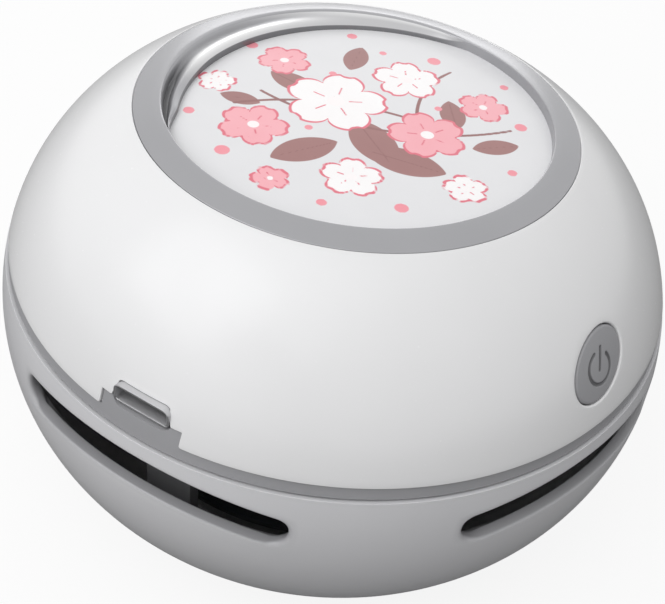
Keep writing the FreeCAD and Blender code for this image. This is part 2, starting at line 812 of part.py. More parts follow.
def make_intake_plate():
    """Dark plate under the impeller with a rounded eye and three posts up to the deck."""
    body = new_body("PlateForm")
    points = [
        (s.eye_radius, s.plate_bottom), (s.plate_radius, s.plate_bottom), (s.plate_radius, s.plate_top),
        (s.eye_radius + 0.9, s.plate_top), (s.eye_radius, s.plate_top - 0.5),
    ]
    revolve(body, points)
    parts = [body]
    tools = []
    for turn in range(int(s.post_count.value)):
        azimuth = POST_AZ + turn * 360.0 / s.post_count.value
        parts.append(cylinder(s.post_radius, s.deck_bottom - s.plate_top + 0.5,
                              turned(azimuth, s.post_reach, s.plate_top - 0.5)))
        tools.append(cylinder(s.screw_hole, 12, turned(azimuth, s.post_reach, s.plate_bottom - 1)))
        tools.append(cylinder(s.screw_head + 0.15, s.screw_head_high + 1.2,
                              turned(azimuth, s.post_reach, s.plate_bottom - 1)))
    return node(cut(fuse(parts), fuse(tools)), "intake_plate")


def make_impeller():
    """Backward-curved fan wheel, open towards the eye below it."""
    body = new_body("Impeller")
    bore = s.shaft_radius
    points = [
        (bore, s.impeller_bottom + 0.6), (s.hub_radius - 0.6, s.impeller_bottom + 0.6),
        (s.hub_radius, s.impeller_bottom + 1.4), (s.hub_radius + 0.6, s.impeller_plate_low),
        (s.impeller_radius, s.impeller_plate_low), (s.impeller_radius, s.impeller_top),
        (bore, s.impeller_top),
    ]
    revolve(body, points)
    sketch = new_sketch(body, "XY_Plane", s.impeller_bottom)
    tip = s.impeller_radius - 0.2

    def polar(radius, degrees):
        angle = math.radians(degrees)
        return (radius * math.cos(angle), radius * math.sin(angle))

    draw(sketch, [polar(s.blade_start, 0), polar(tip, -BLADE_SWEEP), polar(tip, 2.4 - BLADE_SWEEP),
                  polar(s.blade_start, 8)],
         {0: (s.blade_bend, False), 2: (s.blade_bend, True)})
    blade = pad(body, sketch, s.impeller_plate_low - s.impeller_bottom + 0.2)
    around(body, [blade], s.blade_count)
    return node(body, "impeller")


def make_motor():
    """Flat can motor: can, end cap, magnets, bushings, armature, shaft, cushion and two screws."""
    low = s.deck_top + s.cushion_thick
    high = low + s.motor_long
    cap_low = high - s.end_cap_thick
    inner = s.motor_radius - s.can_sheet
    can = new_body("Can")
    points = [
        (s.bushing_radius, low - s.cushion_thick), (s.snout_radius, low - s.cushion_thick),
        (s.snout_radius, low), (s.motor_radius - 0.8, low), (s.motor_radius, low + 0.8),
        (s.motor_radius, high - 0.8), (inner, high - 0.8),
        (inner, low + s.can_sheet), (s.bushing_radius, low + s.can_sheet),
    ]
    revolve(can, points, {3: (Term(0.8, "0.8"), True)})
    holes = [cylinder(s.screw_core, 2, turned(MOTOR_SCREW_AZ + side, s.motor_screw_reach, low - 0.5))
             for side in (0, 180)]
    node(cut(can, fuse(holes)), "motor_can")
    cap = new_body("EndCap")
    points = [
        (s.bushing_radius, cap_low), (inner, cap_low), (inner, high - 0.8), (inner - 1.0, high),
        (s.bushing_radius + 1.2, high), (s.bushing_radius + 1.2, high + 0.6), (0, high + 0.6), (0, high),
        (s.bushing_radius, high),
    ]
    revolve(cap, points)
    node(cap, "motor_end_cap")
    magnets = []
    for side in (0, 180):
        arc = doc.addObject("Part::Cylinder", "MagnetOuter")
        bind(arc, "Radius", inner)
        bind(arc, "Height", cap_low - low - s.can_sheet)
        arc.Angle = 140
        arc.Placement = FreeCAD.Placement(FreeCAD.Vector(0, 0, number(low + s.can_sheet)),
                                          FreeCAD.Rotation(FreeCAD.Vector(0, 0, 1), side - 70))
        magnets.append(cut(arc, cylinder(inner - s.magnet_thick, s.motor_long, at(0, 0, low))))
    node(group(magnets), "motor_magnets")
    bore = s.shaft_radius + s.shaft_clear
    lower_bush = collar("LowerBush", bore, s.bushing_radius, low - s.cushion_thick, low + s.can_sheet + 1.0)
    upper_bush = collar("UpperBush", bore, s.bushing_radius, cap_low, high)
    node(group([lower_bush, upper_bush]), "motor_bushings")
    armature = new_body("Armature")
    rotor_low = low + s.can_sheet + 1.6
    rotor_high = cap_low - 0.8
    points = [(s.shaft_radius, rotor_low), (s.armature_radius, rotor_low),
              (s.armature_radius, rotor_high), (s.shaft_radius, rotor_high)]
    revolve(armature, points)
    sketch = new_sketch(armature, "XY_Plane", rotor_high)
    narrow = 0.7
    draw(sketch, [(s.armature_radius * 0.35, -narrow), (s.armature_radius + 1, -narrow),
                  (s.armature_radius + 1, narrow), (s.armature_radius * 0.35, narrow)])
    gap = pocket(armature, sketch, rotor_high - rotor_low + 1)
    around(armature, [gap], 3)
    node(armature, "motor_armature")
    shaft_top = high - 0.2
    node(cylinder(s.shaft_radius, shaft_top - s.shaft_bottom, at(0, 0, s.shaft_bottom)), "motor_shaft")
    cushion = collar("Cushion", s.snout_radius + 0.1, s.motor_radius - 1.0, s.deck_top, low)
    holes = []
    for side in (0, 180):
        place = turned(MOTOR_SCREW_AZ + side, s.motor_screw_reach, s.deck_bottom)
        holes.append(cylinder(s.screw_hole + 0.2, 4, place))
    node(cut(cushion, fuse(holes)), "motor_cushion")


def screw(place, long):
    """Pan-head screw with a cross recess, its head at the low end of its own Z."""
    head = cylinder(s.screw_head, s.screw_head_high, place)
    shank = cylinder(s.screw_core, long, place * at(0, 0, s.screw_head_high))
    cross = fuse([block(s.cross_long, s.cross_wide, s.cross_deep, place),
                  block(s.cross_wide, s.cross_long, s.cross_deep, place)])
    return cut(fuse([head, shank]), cross)


def make_screws():
    """Fasteners: shell to frame, motor to deck, intake plate to deck and board to frame."""
    top_of_head = s.deck_bottom - s.screw_head_high
    frame_screws = []
    for turn in range(int(s.boss_count.value)):
        azimuth = BOSS_AZ + turn * 360.0 / s.boss_count.value
        frame_screws.append(screw(turned(azimuth, s.boss_reach, top_of_head), s.screw_long))
    node(group(frame_screws), "frame_screws")
    motor_screws = [screw(turned(MOTOR_SCREW_AZ + side, s.motor_screw_reach, top_of_head), Term(2.9, "2.9"))
                    for side in (0, 180)]
    node(group(motor_screws), "motor_screws")
    plate_screws = []
    seat = s.plate_bottom + 0.2
    for turn in range(int(s.post_count.value)):
        azimuth = POST_AZ + turn * 360.0 / s.post_count.value
        length = s.deck_top - seat - s.screw_head_high - 0.1
        plate_screws.append(screw(turned(azimuth, s.post_reach, seat), length))
    node(group(plate_screws), "plate_screws")
    down = FreeCAD.Placement(FreeCAD.Vector(0, 0, 0), FreeCAD.Rotation(FreeCAD.Vector(1, 0, 0), 180))
    board_screws = []
    for azimuth, reach in BOARD_SCREWS:
        head_top = s.board_low + s.board_thick + s.screw_head_high
        board_screws.append(screw(turned(azimuth, reach, head_top) * down, Term(3.2, "3.2")))
    node(group(board_screws), "board_screws")


def make_board():
    """Circuit board, a sector between the socket and the button, with its parts."""
    sector = doc.addObject("Part::Cylinder", "BoardSector")
    bind(sector, "Radius", s.board_outer)
    bind(sector, "Height", s.board_thick)
    sector.Angle = BOARD_SPAN
    sector.Placement = FreeCAD.Placement(FreeCAD.Vector(0, 0, s.board_low.value),
                                         FreeCAD.Rotation(FreeCAD.Vector(0, 0, 1), BOARD_START_AZ - 90))
    middle = (s.tail_reach + s.board_inner + 4) / 2
    tail = block(s.tail_wide, s.tail_reach - s.board_inner - 4, s.board_thick, at(0, -middle, s.board_low))
    tools = [cylinder(s.board_inner, 3, at(0, 0, s.board_low - 1))]
    for azimuth, reach in BOARD_SCREWS:
        tools.append(cylinder(s.board_hole, 3, turned(azimuth, reach, s.board_low - 1)))
    node(cut(fuse([sector, tail]), fuse(tools)), "circuit_board")
    top = s.board_low + s.board_thick
    parts = [
        block(4.0, 5.0, 1.5, turned(12.0, 26.5, top)),
        block(3.0, 3.0, 1.2, turned(22.0, 20.0, top)),
        block(1.6, 3.0, 1.1, turned(49.0, 27.5, top)),
        block(1.6, 3.0, 1.1, turned(55.0, 27.5, top)),
        cylinder(2.5, 5.0, turned(58.0, 21.5, top)),
        block(6.0, 4.5, s.plug_high, turned(PLUG_AZ, s.plug_reach, top)),
        block(6.0, 4.5, s.plug_high, turned(MOTOR_SCREW_AZ, s.plug_reach, top)),
    ]
    node(group(parts), "board_components")


def make_socket():
    """Charging socket: a steel sleeve closed at the back and the contact tongue in it."""
    sleeve = new_body("SocketSleeve")
    back = s.port_mouth - s.port_deep
    sketch = new_sketch(sleeve, "XZ_Plane", back)
    draw(sketch, *slot_outline(s.port_wide, s.port_tall, s.port_corner, s.port_height))
    pad(sleeve, sketch, s.port_deep)
    hollow = new_sketch(sleeve, "XZ_Plane", s.port_mouth)
    sheet_metal = s.port_sheet * 2
    draw(hollow, *slot_outline(
        s.port_wide - sheet_metal, s.port_tall - sheet_metal, s.port_inner_corner, s.port_height))
    pocket(sleeve, hollow, s.port_deep - 1.0)
    node(sleeve, "charging_socket")
    tongue = block(s.tongue_wide, s.port_deep - 2.0, s.tongue_thick,
                   at(0, -(s.port_mouth - 1.0 - (s.port_deep - 2.0) / 2), s.port_height + 0.25))
    node(tongue, "socket_tongue")


def make_button():
    """Oval power button that follows the dome, and the switch behind it on a board of its own."""
    def back(sink):
        return on_dome(BUTTON_AZ, s.button_height, sink)

    cap = oval(s.button_long, s.button_short, s.button_back + 2.0, back(s.button_back))
    rim = s.flange_rim
    flange = oval(s.button_long + rim, s.button_short + rim, s.button_back, back(s.button_back))
    stem = cylinder(s.stem_radius, s.stem_end - s.button_back, back(s.stem_end))
    solid = fuse([common(cap, dome_form()), common(flange, dome_form(s.flange_front)), stem])
    node(cut(solid, power_mark(back(s.button_back))), "power_button")
    node(cylinder(s.plunger_radius, s.plunger_end - s.stem_end, back(s.plunger_end)), "switch_plunger")
    deep = s.switch_back - s.switch_front
    node(block(s.switch_wide, s.switch_wide, deep, back(s.switch_back)), "tactile_switch")
    rear = s.switch_back + s.panel_thick
    panel = block(s.panel_long, s.panel_high, s.panel_thick, back(rear))
    holes = [cylinder(s.panel_screw + 0.15, 3, back(rear + 1) * at(side, 0, 0))
             for side in (-s.panel_hole, s.panel_hole)]
    node(cut(panel, fuse(holes)), "switch_board")
    screws = []
    for side in (-s.panel_hole, s.panel_hole):
        head = cylinder(s.panel_head, 0.7, back(rear + 0.7) * at(side, 0, 0))
        shank = cylinder(s.panel_screw, 3.8, back(rear) * at(side, 0, 0))
        screws.append(fuse([head, shank]))
    node(group(screws), "switch_screws")
    pair = []
    for side in (-1.5, 1.5):
        start = back(rear).multVec(FreeCAD.Vector(side, 1.6, 0))
        inner = back(rear).multVec(FreeCAD.Vector(side, 1.6, -1.8))
        over = turned(BUTTON_AZ).multVec(FreeCAD.Vector(side, -27.4, inner.z))
        down = FreeCAD.Vector(over.x, over.y, number(s.board_low + s.board_thick))
        pair.append(tube_along([start, inner, over, down], 0.4, 0.8))
    store(pair, "switch_leads")


def power_mark(place):
    """The line-and-arc mark that is let into the button, to an even depth under the dome."""
    out = s.button_back + 2.0
    spin = FreeCAD.Rotation(FreeCAD.Vector(0, 0, 1), MARK_LEAN)
    lean = FreeCAD.Placement(FreeCAD.Vector(0.3, -0.4, 0), spin)
    place = place * lean
    outer = doc.addObject("Part::Cylinder", "MarkOuter")
    bind(outer, "Radius", s.mark_radius + s.mark_wide / 2)
    bind(outer, "Height", out)
    outer.Angle = 290
    outer.Placement = place * FreeCAD.Placement(FreeCAD.Vector(0, 0, 0),
                                                FreeCAD.Rotation(FreeCAD.Vector(0, 0, 1), 90 + 35))
    arc = cut(outer, cylinder(s.mark_radius - s.mark_wide / 2, out, place))
    bar = block(s.mark_wide, 2.5, out, place * at(0, 1.05, 0))
    return cut(fuse([arc, bar]), dome_form(s.mark_depth))


def make_battery():
    """Rechargeable round cell lying in a cradle on the deck."""
    lay = FreeCAD.Placement(FreeCAD.Vector(0, 0, 0), FreeCAD.Rotation(FreeCAD.Vector(0, 1, 0), 90))
    middle = turned(BATTERY_AZ, s.battery_reach, s.battery_height)
    cell = cylinder(s.battery_radius, s.battery_long, middle * lay * at(0, 0, -s.battery_long / 2))
    tip = cylinder(2.4, 0.8, middle * lay * at(0, 0, -s.battery_long / 2 - 0.8))
    node(fuse([cell, tip]), "battery_cell")
    guard = cylinder(s.battery_radius - 0.3, s.guard_thick, middle * lay * at(0, 0, s.battery_long / 2))
    node(guard, "protection_board")
    wide = s.battery_long + 2.4 + s.cradle_wall * 2
    floor = turned(BATTERY_AZ, s.battery_reach, s.deck_top)
    tray = block(wide, s.battery_radius * 1.7, s.cradle_top - s.deck_top, floor)
    room_start = middle * lay * at(0, 0, -s.battery_long / 2 - 1.2)
    room = fuse([
        cylinder(s.battery_radius + 0.1, s.battery_long + 2.4, room_start),
        block(s.battery_long * 0.5, s.battery_radius * 3, s.battery_radius,
              turned(BATTERY_AZ, s.battery_reach, s.deck_top + 0.9)),
    ])
    node(cut(tray, room), "battery_cradle")


def tube_along(points, radius, bend):
    """A round lead through the points, with equal bends at the corners."""
    corners = [FreeCAD.Vector(point) for point in points]
    edges = []
    here = corners[0]
    for index in range(1, len(corners) - 1):
        before = (corners[index] - corners[index - 1]).normalize()
        after = (corners[index + 1] - corners[index]).normalize()
        turn = before.getAngle(after)
        step = bend * math.tan(turn / 2)
        first = corners[index] - before * step
        last = corners[index] + after * step
        inwards = (after - before).normalize()
        middle = corners[index] + inwards * (bend / math.cos(turn / 2) - bend)
        edges.append(Part.LineSegment(here, first).toShape())
        edges.append(Part.Arc(first, middle, last).toShape())
        here = last
    edges.append(Part.LineSegment(here, corners[-1]).toShape())
    path = Part.Wire(edges)
    way = (corners[1] - corners[0]).normalize()
    section = Part.Wire([Part.Circle(corners[0], way, radius).toShape()])
    return path.makePipeShell([section], True, True)


def make_leads():
    """Two leads from the motor and two from the battery to the plugs on the board."""
    radius = s.lead_radius.value
    bend = s.lead_bend.value
    plug = number(s.board_low + s.board_thick + s.plug_high)
    reach = s.plug_reach.value
    motor_top = number(s.deck_top + s.cushion_thick + s.motor_long)
    level = motor_top + 0.7
    terminals = []
    pair = []
    for side in (-s.terminal_space.value, s.terminal_space.value):
        place = turned(MOTOR_SCREW_AZ) * at(side, -s.terminal_reach.value, motor_top)
        terminals.append(block(1.4, 1.0, 1.2, place))
        points = [(side, -s.terminal_reach.value - 0.5, level), (side, -reach, level), (side, -reach, plug)]
        pair.append(lead(MOTOR_SCREW_AZ, points, radius, bend))
    node(group(terminals), "motor_terminals")
    store(pair, "motor_leads")
    end = s.battery_long.value / 2 + s.guard_thick.value
    pair = []
    for side, level in ((-1.2, plug + 1.7), (1.2, plug + 3.3)):
        start = turned(BATTERY_AZ).multVec(FreeCAD.Vector(end, -s.battery_reach.value, level))
        out = turned(BATTERY_AZ).multVec(FreeCAD.Vector(end + 3.4, -s.battery_reach.value, level))
        over = turned(PLUG_AZ).multVec(FreeCAD.Vector(side, -reach, level))
        down = turned(PLUG_AZ).multVec(FreeCAD.Vector(side, -reach, plug))
        pair.append(lead(0.0, [start, out, over, down], radius, bend))
    store(pair, "battery_leads")


def lead(azimuth, points, radius, bend):
    """One lead along points that are given on the -Y side."""
    place = turned(azimuth)
    return tube_along([place.multVec(FreeCAD.Vector(*point)) for point in points], radius, bend)


def store(shapes, name):
    """Keeps swept shapes as one piece."""
    piece = doc.addObject("Part::Feature", "Leads")
    piece.Shape = Part.makeCompound(shapes)
    node(piece, name)


def export():
    """Checks every object and writes each piece to its own file."""
    doc.recompute()
    for obj in doc.Objects:
        if "Invalid" in obj.State or "Error" in obj.State:
            raise RuntimeError("%s (%s) failed: %s" % (obj.Name, obj.Label, obj.State))
    os.makedirs("parts", exist_ok=True)
    for obj in nodes:
        if obj.Shape.isNull() or not obj.Shape.isValid():
            raise RuntimeError("%s has no valid shape" % obj.Label)
        obj.Shape.exportStep("parts/%s.step" % obj.Label)
        box = obj.Shape.BoundBox
        print("%-18s solids %d volume %8.1f z %6.2f to %6.2f" % (
            obj.Label, len(obj.Shape.Solids), obj.Shape.Volume, box.ZMin, box.ZMax))


make_upper_shell()
make_top_ring()
make_decor_disc()
make_mid_frame()
make_lower_shell()
make_feet()
make_nozzle()
make_dust_cup()
make_filter()
make_intake_plate()
make_impeller()
make_motor()
make_screws()
make_board()
make_socket()
make_button()
make_battery()
make_leads()
export()
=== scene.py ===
import math

import bmesh
import bpy
import numpy as np
from mathutils import Matrix, Vector


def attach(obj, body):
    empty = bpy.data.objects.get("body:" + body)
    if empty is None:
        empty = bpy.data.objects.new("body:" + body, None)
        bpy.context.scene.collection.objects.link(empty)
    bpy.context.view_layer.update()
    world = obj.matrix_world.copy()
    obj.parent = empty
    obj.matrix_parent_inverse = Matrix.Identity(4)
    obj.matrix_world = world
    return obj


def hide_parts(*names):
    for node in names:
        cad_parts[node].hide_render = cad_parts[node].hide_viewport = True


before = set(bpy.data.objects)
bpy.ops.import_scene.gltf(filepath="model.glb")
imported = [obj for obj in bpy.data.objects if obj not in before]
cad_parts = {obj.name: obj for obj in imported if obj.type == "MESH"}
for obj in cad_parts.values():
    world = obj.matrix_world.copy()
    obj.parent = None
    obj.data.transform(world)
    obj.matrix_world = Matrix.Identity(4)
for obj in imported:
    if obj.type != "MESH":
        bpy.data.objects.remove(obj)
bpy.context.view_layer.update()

# Sizes of the object in millimetres and degrees, on the CAD model's own axes
MM = 0.001
BODY_RADIUS = 44.0
UPPER_ARC = 32.0
LOWER_ARC = 30.0
EQUATOR = 27.5
WALL = 2.0
DOME_LOW = 37.5
DOME_TOP = 55.83
BOWL_LOW = 2.2
BOWL_RIM = 35.7
NOZZLE_HOLE = 10.9
SLOT_AZ = (0.0, 73.5, 144.0, 216.0, 286.5)
SLOT_HALF = 17.88
SLOT_TALL = 4.3
SLOT_HEIGHT = 31.65
SLOT_BOW = 91.0
SLOT_WALL = 1.1
RING_OUTER = 26.75
RING_EDGE = 55.8
RING_INNER = 23.5
RING_TOP = 56.45
DISC_TOP = 55.1
DISC_THICK = 1.0
DISC_RADIUS = 24.4
LEDGE_RADIUS = 24.4
LEDGE_SHIFT = 4.4
LEDGE_AZ = 74.0
BUTTON_AZ = 75.3
BUTTON_HEIGHT = 43.88
BUTTON_LONG = 4.7
BUTTON_SHORT = 3.58
BUTTON_LEAN = 33.0
BUTTON_GAP = 0.15
BUTTON_BACK = 3.6
MARK_LEAN = -20.0
MARK_RADIUS = 1.88
MARK_SIDE = -0.1
MARK_DROP = 0.36
MARK_HALF = 0.21
MARK_OPEN = 35.0
MARK_DEEP = 0.16
BUTTON_SUNK = 0.04
PORT_HEIGHT = 39.9
PORT_WIDE = 7.3
PORT_TALL = 2.65
PORT_MOUTH = 41.5
PORT_DEEP = 5.6
PORT_SHEET = 0.33
PORT_GAP = 0.08
PORT_CORNER = 1.0
TAB_HALF = 5.22
TAB_TOP = 39.27
# Step between the columns of points round the shells, in degrees
COLUMN_STEP = 1.5
# The photo's view: angles in degrees, distances in millimetres, image width and focal length in pixels
VIEW_TURN = 25.7
VIEW_RISE = 42.64
VIEW_ROLL = 8.2
VIEW_FAR = 139.26
VIEW_SIDE = -0.294
VIEW_UP = -2.667
IMAGE_WIDE = 665
FOCAL_LENGTH = 1000


# Shared shapes

def direction(azimuth):
    """Outward unit vectors for azimuths in degrees, counted from -Y towards +X."""
    angle = np.radians(azimuth)
    return np.stack([np.sin(angle), -np.cos(angle), np.zeros_like(angle)], axis=-1)


def form_gap(points, inset=0.0):
    """How far points lie outside the body's form: an upper and a lower arc that meet at the
    equator, carried round the axis and inset evenly."""
    reach = np.hypot(points[..., 0], points[..., 1])
    rise = points[..., 2] - EQUATOR
    arc = np.where(rise >= 0, UPPER_ARC, LOWER_ARC)
    return np.hypot(reach - (BODY_RADIUS - arc), rise) - (arc - inset)


def settle(points, way, inset=0.0):
    """Slides points along a direction until they lie on the form, by halving the step."""
    low = np.full(points.shape[:-1], -12.0)
    high = np.full(points.shape[:-1], 12.0)
    for _ in range(40):
        middle = (low + high) / 2
        outside = form_gap(points + way * middle[..., None], inset) > 0
        high = np.where(outside, middle, high)
        low = np.where(outside, low, middle)
    return points + way * low[..., None]


def form_normal(points):
    """Outward unit normals of the form: away from the nearer arc's centre circle."""
    reach = np.hypot(points[..., 0], points[..., 1])
    rise = points[..., 2] - EQUATOR
    arc = np.where(rise >= 0, UPPER_ARC, LOWER_ARC)
    out = (reach - (BODY_RADIUS - arc)) / reach
    normal = np.stack([points[..., 0] * out, points[..., 1] * out, rise], axis=-1)
    return normal / np.linalg.norm(normal, axis=-1, keepdims=True)


def arc_reach(height, inset=0.0):
    """Radius of the form at heights: the arc's centre radius plus the run left by the rise."""
    height = np.asarray(height, float)
    arc = np.where(height >= EQUATOR, UPPER_ARC, LOWER_ARC)
    return BODY_RADIUS - arc + np.sqrt((arc - inset) ** 2 - (height - EQUATOR) ** 2)


def grid_faces(rows, cols, wrap_rows=False, wrap_cols=False):
    """Quads of a grid of points, each as four indices, closed round either way if asked."""
    i = np.arange(rows if wrap_rows else rows - 1)[:, None]
    j = np.arange(cols if wrap_cols else cols - 1)[None, :]
    i2 = (i + 1) % rows
    j2 = (j + 1) % cols
    quads = np.stack([i * cols + j, i * cols + j2, i2 * cols + j2, i2 * cols + j], axis=-1)
    return quads.reshape(-1, 4)


def turned(profile, steps):
    """A profile of radius and height carried round the axis."""
    out = direction(np.arange(steps) * 360.0 / steps)
    points = out[None, :, :] * profile[:, None, 0:1]
    points[..., 2] = profile[:, None, 1]
    return points


def rounded(corners, radii, steps):
    """A closed outline whose corners become arcs: each arc touches both sides at the radius
    times the tangent of half the turn."""
    corners = np.asarray(corners, float)
    before = np.roll(corners, 1, axis=0) - corners
    after = np.roll(corners, -1, axis=0) - corners
    before /= np.linalg.norm(before, axis=1, keepdims=True)
    after /= np.linalg.norm(after, axis=1, keepdims=True)
    half = np.arccos(np.clip((before * after).sum(1), -1, 1)) / 2
    radii = np.asarray(radii, float)
    middle = before + after
    length = np.linalg.norm(middle, axis=1, keepdims=True)
    middle = np.where(length > 1e-9, middle / np.maximum(length, 1e-9), before)
    centre = corners + middle * (radii / np.sin(half))[:, None]
    first = corners + before * (radii / np.tan(half))[:, None]
    last = corners + after * (radii / np.tan(half))[:, None]
    t = np.linspace(0, 1, steps)[None, :, None]
    chord = first[:, None] * (1 - t) + last[:, None] * t
    spoke = chord - centre[:, None]
    spoke /= np.maximum(np.linalg.norm(spoke, axis=2, keepdims=True), 1e-9)
    return (centre[:, None] + spoke * radii[:, None, None]).reshape(-1, 2)


def smooth(value, low, high):
    """Rises from 0 to 1 between two limits with level ends."""
    t = np.clip((value - low) / (high - low), 0, 1)
    return t * t * (3 - 2 * t)


def piece(name, body, material, parts, stands_for, sharp=38.0, marks=None):
    """Makes a mesh of parts, each an array of points in millimetres and one of faces, gives its
    points the values in marks, welds it, turns its faces outwards and hangs it on a body."""
    points = []
    faces = []
    start = 0
    for grid, quads in parts:
        flat = np.asarray(grid, float).reshape(-1, 3)
        points.append(flat)
        faces.extend((np.asarray(quads) + start).tolist())
        start += len(flat)
    points = np.concatenate(points) * MM
    mesh = bpy.data.meshes.new(name)
    mesh.from_pydata(points, [], faces)
    for label, values in (marks or {}).items():
        layer = mesh.attributes.new(label, "FLOAT", "POINT")
        layer.data.foreach_set("value", np.asarray(values, np.float32).ravel())
    work = bmesh.new()
    work.from_mesh(mesh)
    bmesh.ops.remove_doubles(work, verts=work.verts, dist=2e-7)
    bmesh.ops.dissolve_degenerate(work, edges=work.edges, dist=1e-8)
    bmesh.ops.recalc_face_normals(work, faces=work.faces)
    work.to_mesh(mesh)
    work.free()
    mesh.shade_smooth()
    mesh.set_sharp_from_angle(angle=math.radians(sharp))
    mesh.materials.append(material)
    made = bpy.data.objects.new(name, mesh)
    bpy.context.scene.collection.objects.link(made)
    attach(made, body)
    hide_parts(*stands_for)
    return made


def rolled(outer, edge, inner):
    """Rings that carry a wall's edge from its outer to its inner surface. outer and inner are the
    last rings of the two surfaces, and edge is how far the rounding stands out past them."""
    depth = inner - outer
    span = np.linalg.norm(depth, axis=-1, keepdims=True)
    way = depth / span
    radius = np.linalg.norm(edge, axis=-1, keepdims=True)
    phi = np.linspace(0, np.pi / 2, 5)[1:, None, None]
    front = outer + edge * np.sin(phi) + way * radius * (1 - np.cos(phi))
    back = inner + edge * np.sin(phi) - way * radius * (1 - np.cos(phi))
    return np.concatenate([front, back[::-1]])


def opening_rings(border_outer, border_inner, centre, across, up, out, path, flare, depth, steps, roll):
    """Rings from a window's border on the outer surface, in to the opening's outline, through the
    wall and back to the border on the inner surface. Each border point goes to the nearest point
    of the outline. flare gives the outline's outward normals, depth the wall at its edge and roll
    the rounding of its lip."""
    local = np.stack([(border_outer - centre) @ across, (border_outer - centre) @ up], axis=-1)
    roll = np.broadcast_to(roll, len(path))[:, None]
    reach = np.linalg.norm(local[:, None, :] - (path + flare * roll)[None, :, :], axis=2)
    nearest = reach.argmin(axis=1)
    edge = path[nearest]
    depth = np.broadcast_to(depth, len(path))[nearest]
    lip = edge + flare[nearest] * roll[nearest]
    inner_local = np.stack([(border_inner - centre) @ across, (border_inner - centre) @ up], axis=-1)

    def lift(flat, inset):
        return settle(centre + flat[..., 0:1] * across + flat[..., 1:2] * up, out, inset)

    t = np.linspace(0, 1, steps + 1)[1:, None, None]
    outer = lift(local * (1 - t) + lip * t, 0.0)
    inset = WALL + (depth - WALL) * t[..., 0] ** 2
    inner = lift(inner_local * (1 - t) + lip * t, inset)
    edges = lift(edge, 0.0) - lift(lip, 0.0)
    return np.concatenate([outer, rolled(outer[-1], edges, inner[-1]), inner[::-1]])


def wall_parts(outer, inner, windows, low_edge, high_edge):
    """Parts of a thick round wall: an outer and an inner grid, rolled edges at its lowest and
    highest row, and openings, each a window of rows and columns with its own rings."""
    rows, cols = outer.shape[:2]
    keep = np.ones((rows - 1, cols), bool)
    parts = []
    for row0, row1, col0, col1, make in windows:
        columns = np.arange(col0, col1) % cols
        keep[row0:row1, columns] = False
        side = np.arange(row0, row1)
        i = np.concatenate([np.full(col1 - col0, row0), side,
                            np.full(col1 - col0, row1), side[::-1] + 1])
        j = np.concatenate([np.arange(col0, col1), np.full(row1 - row0, col1),
                            np.arange(col1, col0, -1), np.full(row1 - row0, col0)]) % cols
        rings = make(outer[i, j], inner[i, j])
        stack = np.concatenate([outer[i, j][None], rings, inner[i, j][None]])
        parts.append((stack, grid_faces(stack.shape[0], stack.shape[1], wrap_cols=True)))
    quads = grid_faces(rows, cols, wrap_cols=True).reshape(rows - 1, cols, 4)[keep]
    parts.append((outer, quads))
    parts.append((inner, quads[:, ::-1]))
    for row, edge in ((0, low_edge), (rows - 1, high_edge)):
        rings = rolled(outer[row], edge, inner[row])
        stack = np.concatenate([outer[row][None], rings, inner[row][None]])
        parts.append((stack, grid_faces(stack.shape[0], cols, wrap_cols=True)))
    return parts


# Node trees

def linear(code):
    """An sRGB hex colour as linear values."""
    raw = np.array([int(code[i:i + 2], 16) for i in (1, 3, 5)]) / 255
    value = np.where(raw <= 0.04045, raw / 12.92, ((raw + 0.055) / 1.055) ** 2.4)
    return (*value.tolist(), 1.0)


def add(tree, kind, settings=None, links=None):
    """Adds a node, sets its inputs or properties by name and links its inputs by name or number."""
    made = tree.nodes.new(kind)
    for key, value in (settings or {}).items():
        if isinstance(key, int) or key in made.inputs:
            made.inputs[key].default_value = value
        else:
            setattr(made, key, value)
    for key, source in (links or {}).items():
        tree.links.new(source, made.inputs[key])
    return made


def blank(name):
    """An empty material, its tree, its output node and the Object coordinates for its patterns."""
    material = bpy.data.materials.new(name)
    material.use_nodes = True
    tree = material.node_tree
    tree.nodes.clear()
    out = add(tree, "ShaderNodeOutputMaterial")
    return material, tree, out, add(tree, "ShaderNodeTexCoord").outputs["Object"]


def moulded(name, dark, light, roughness, grain_mm=0.35, grain=0.02, ripple=0.0, spread=0.06,
            sheen=0.0, metal=0.0):
    """Moulded plastic or rubber: slow flow marks shift its colour between two close shades, fine
    grain from the mould breaks its gloss, and a faint ripple bends its reflections. The grain is
    drawn coarser than real, or it wouldn't show. metal is for flakes in paint, or for plating."""
    material, tree, out, place = blank(name)
    flow = add(tree, "ShaderNodeTexNoise", {"Scale": 1 / (14 * MM), "Detail": 3.0, "Roughness": 0.45},
               {"Vector": place})
    fine = add(tree, "ShaderNodeTexNoise", {"Scale": 1 / (grain_mm * MM), "Detail": 2.0, "Roughness": 0.6},
               {"Vector": place})
    tint = add(tree, "ShaderNodeMix", {"data_type": "RGBA", 6: linear(dark), 7: linear(light)},
               {0: flow.outputs[0]})
    gloss = add(tree, "ShaderNodeMapRange", {"To Min": roughness - spread, "To Max": roughness + spread},
                {"Value": fine.outputs[0]})
    waves = add(tree, "ShaderNodeTexNoise", {"Scale": 1 / (5 * MM), "Detail": 1.0}, {"Vector": place})
    wide = add(tree, "ShaderNodeBump", {"Strength": ripple, "Distance": 0.02 * MM},
               {"Height": waves.outputs[0]})
    bump = add(tree, "ShaderNodeBump", {"Strength": grain, "Distance": 0.05 * MM},
               {"Height": fine.outputs[0], "Normal": wide.outputs[0]})
    shader = add(tree, "ShaderNodeBsdfPrincipled",
                 {"IOR": 1.5 if metal else 1.49, "Sheen Weight": sheen, "Metallic": metal},
                 {"Base Color": tint.outputs[2], "Roughness": gloss.outputs[0], "Normal": bump.outputs[0]})
    tree.links.new(shader.outputs[0], out.inputs[0])
    return material


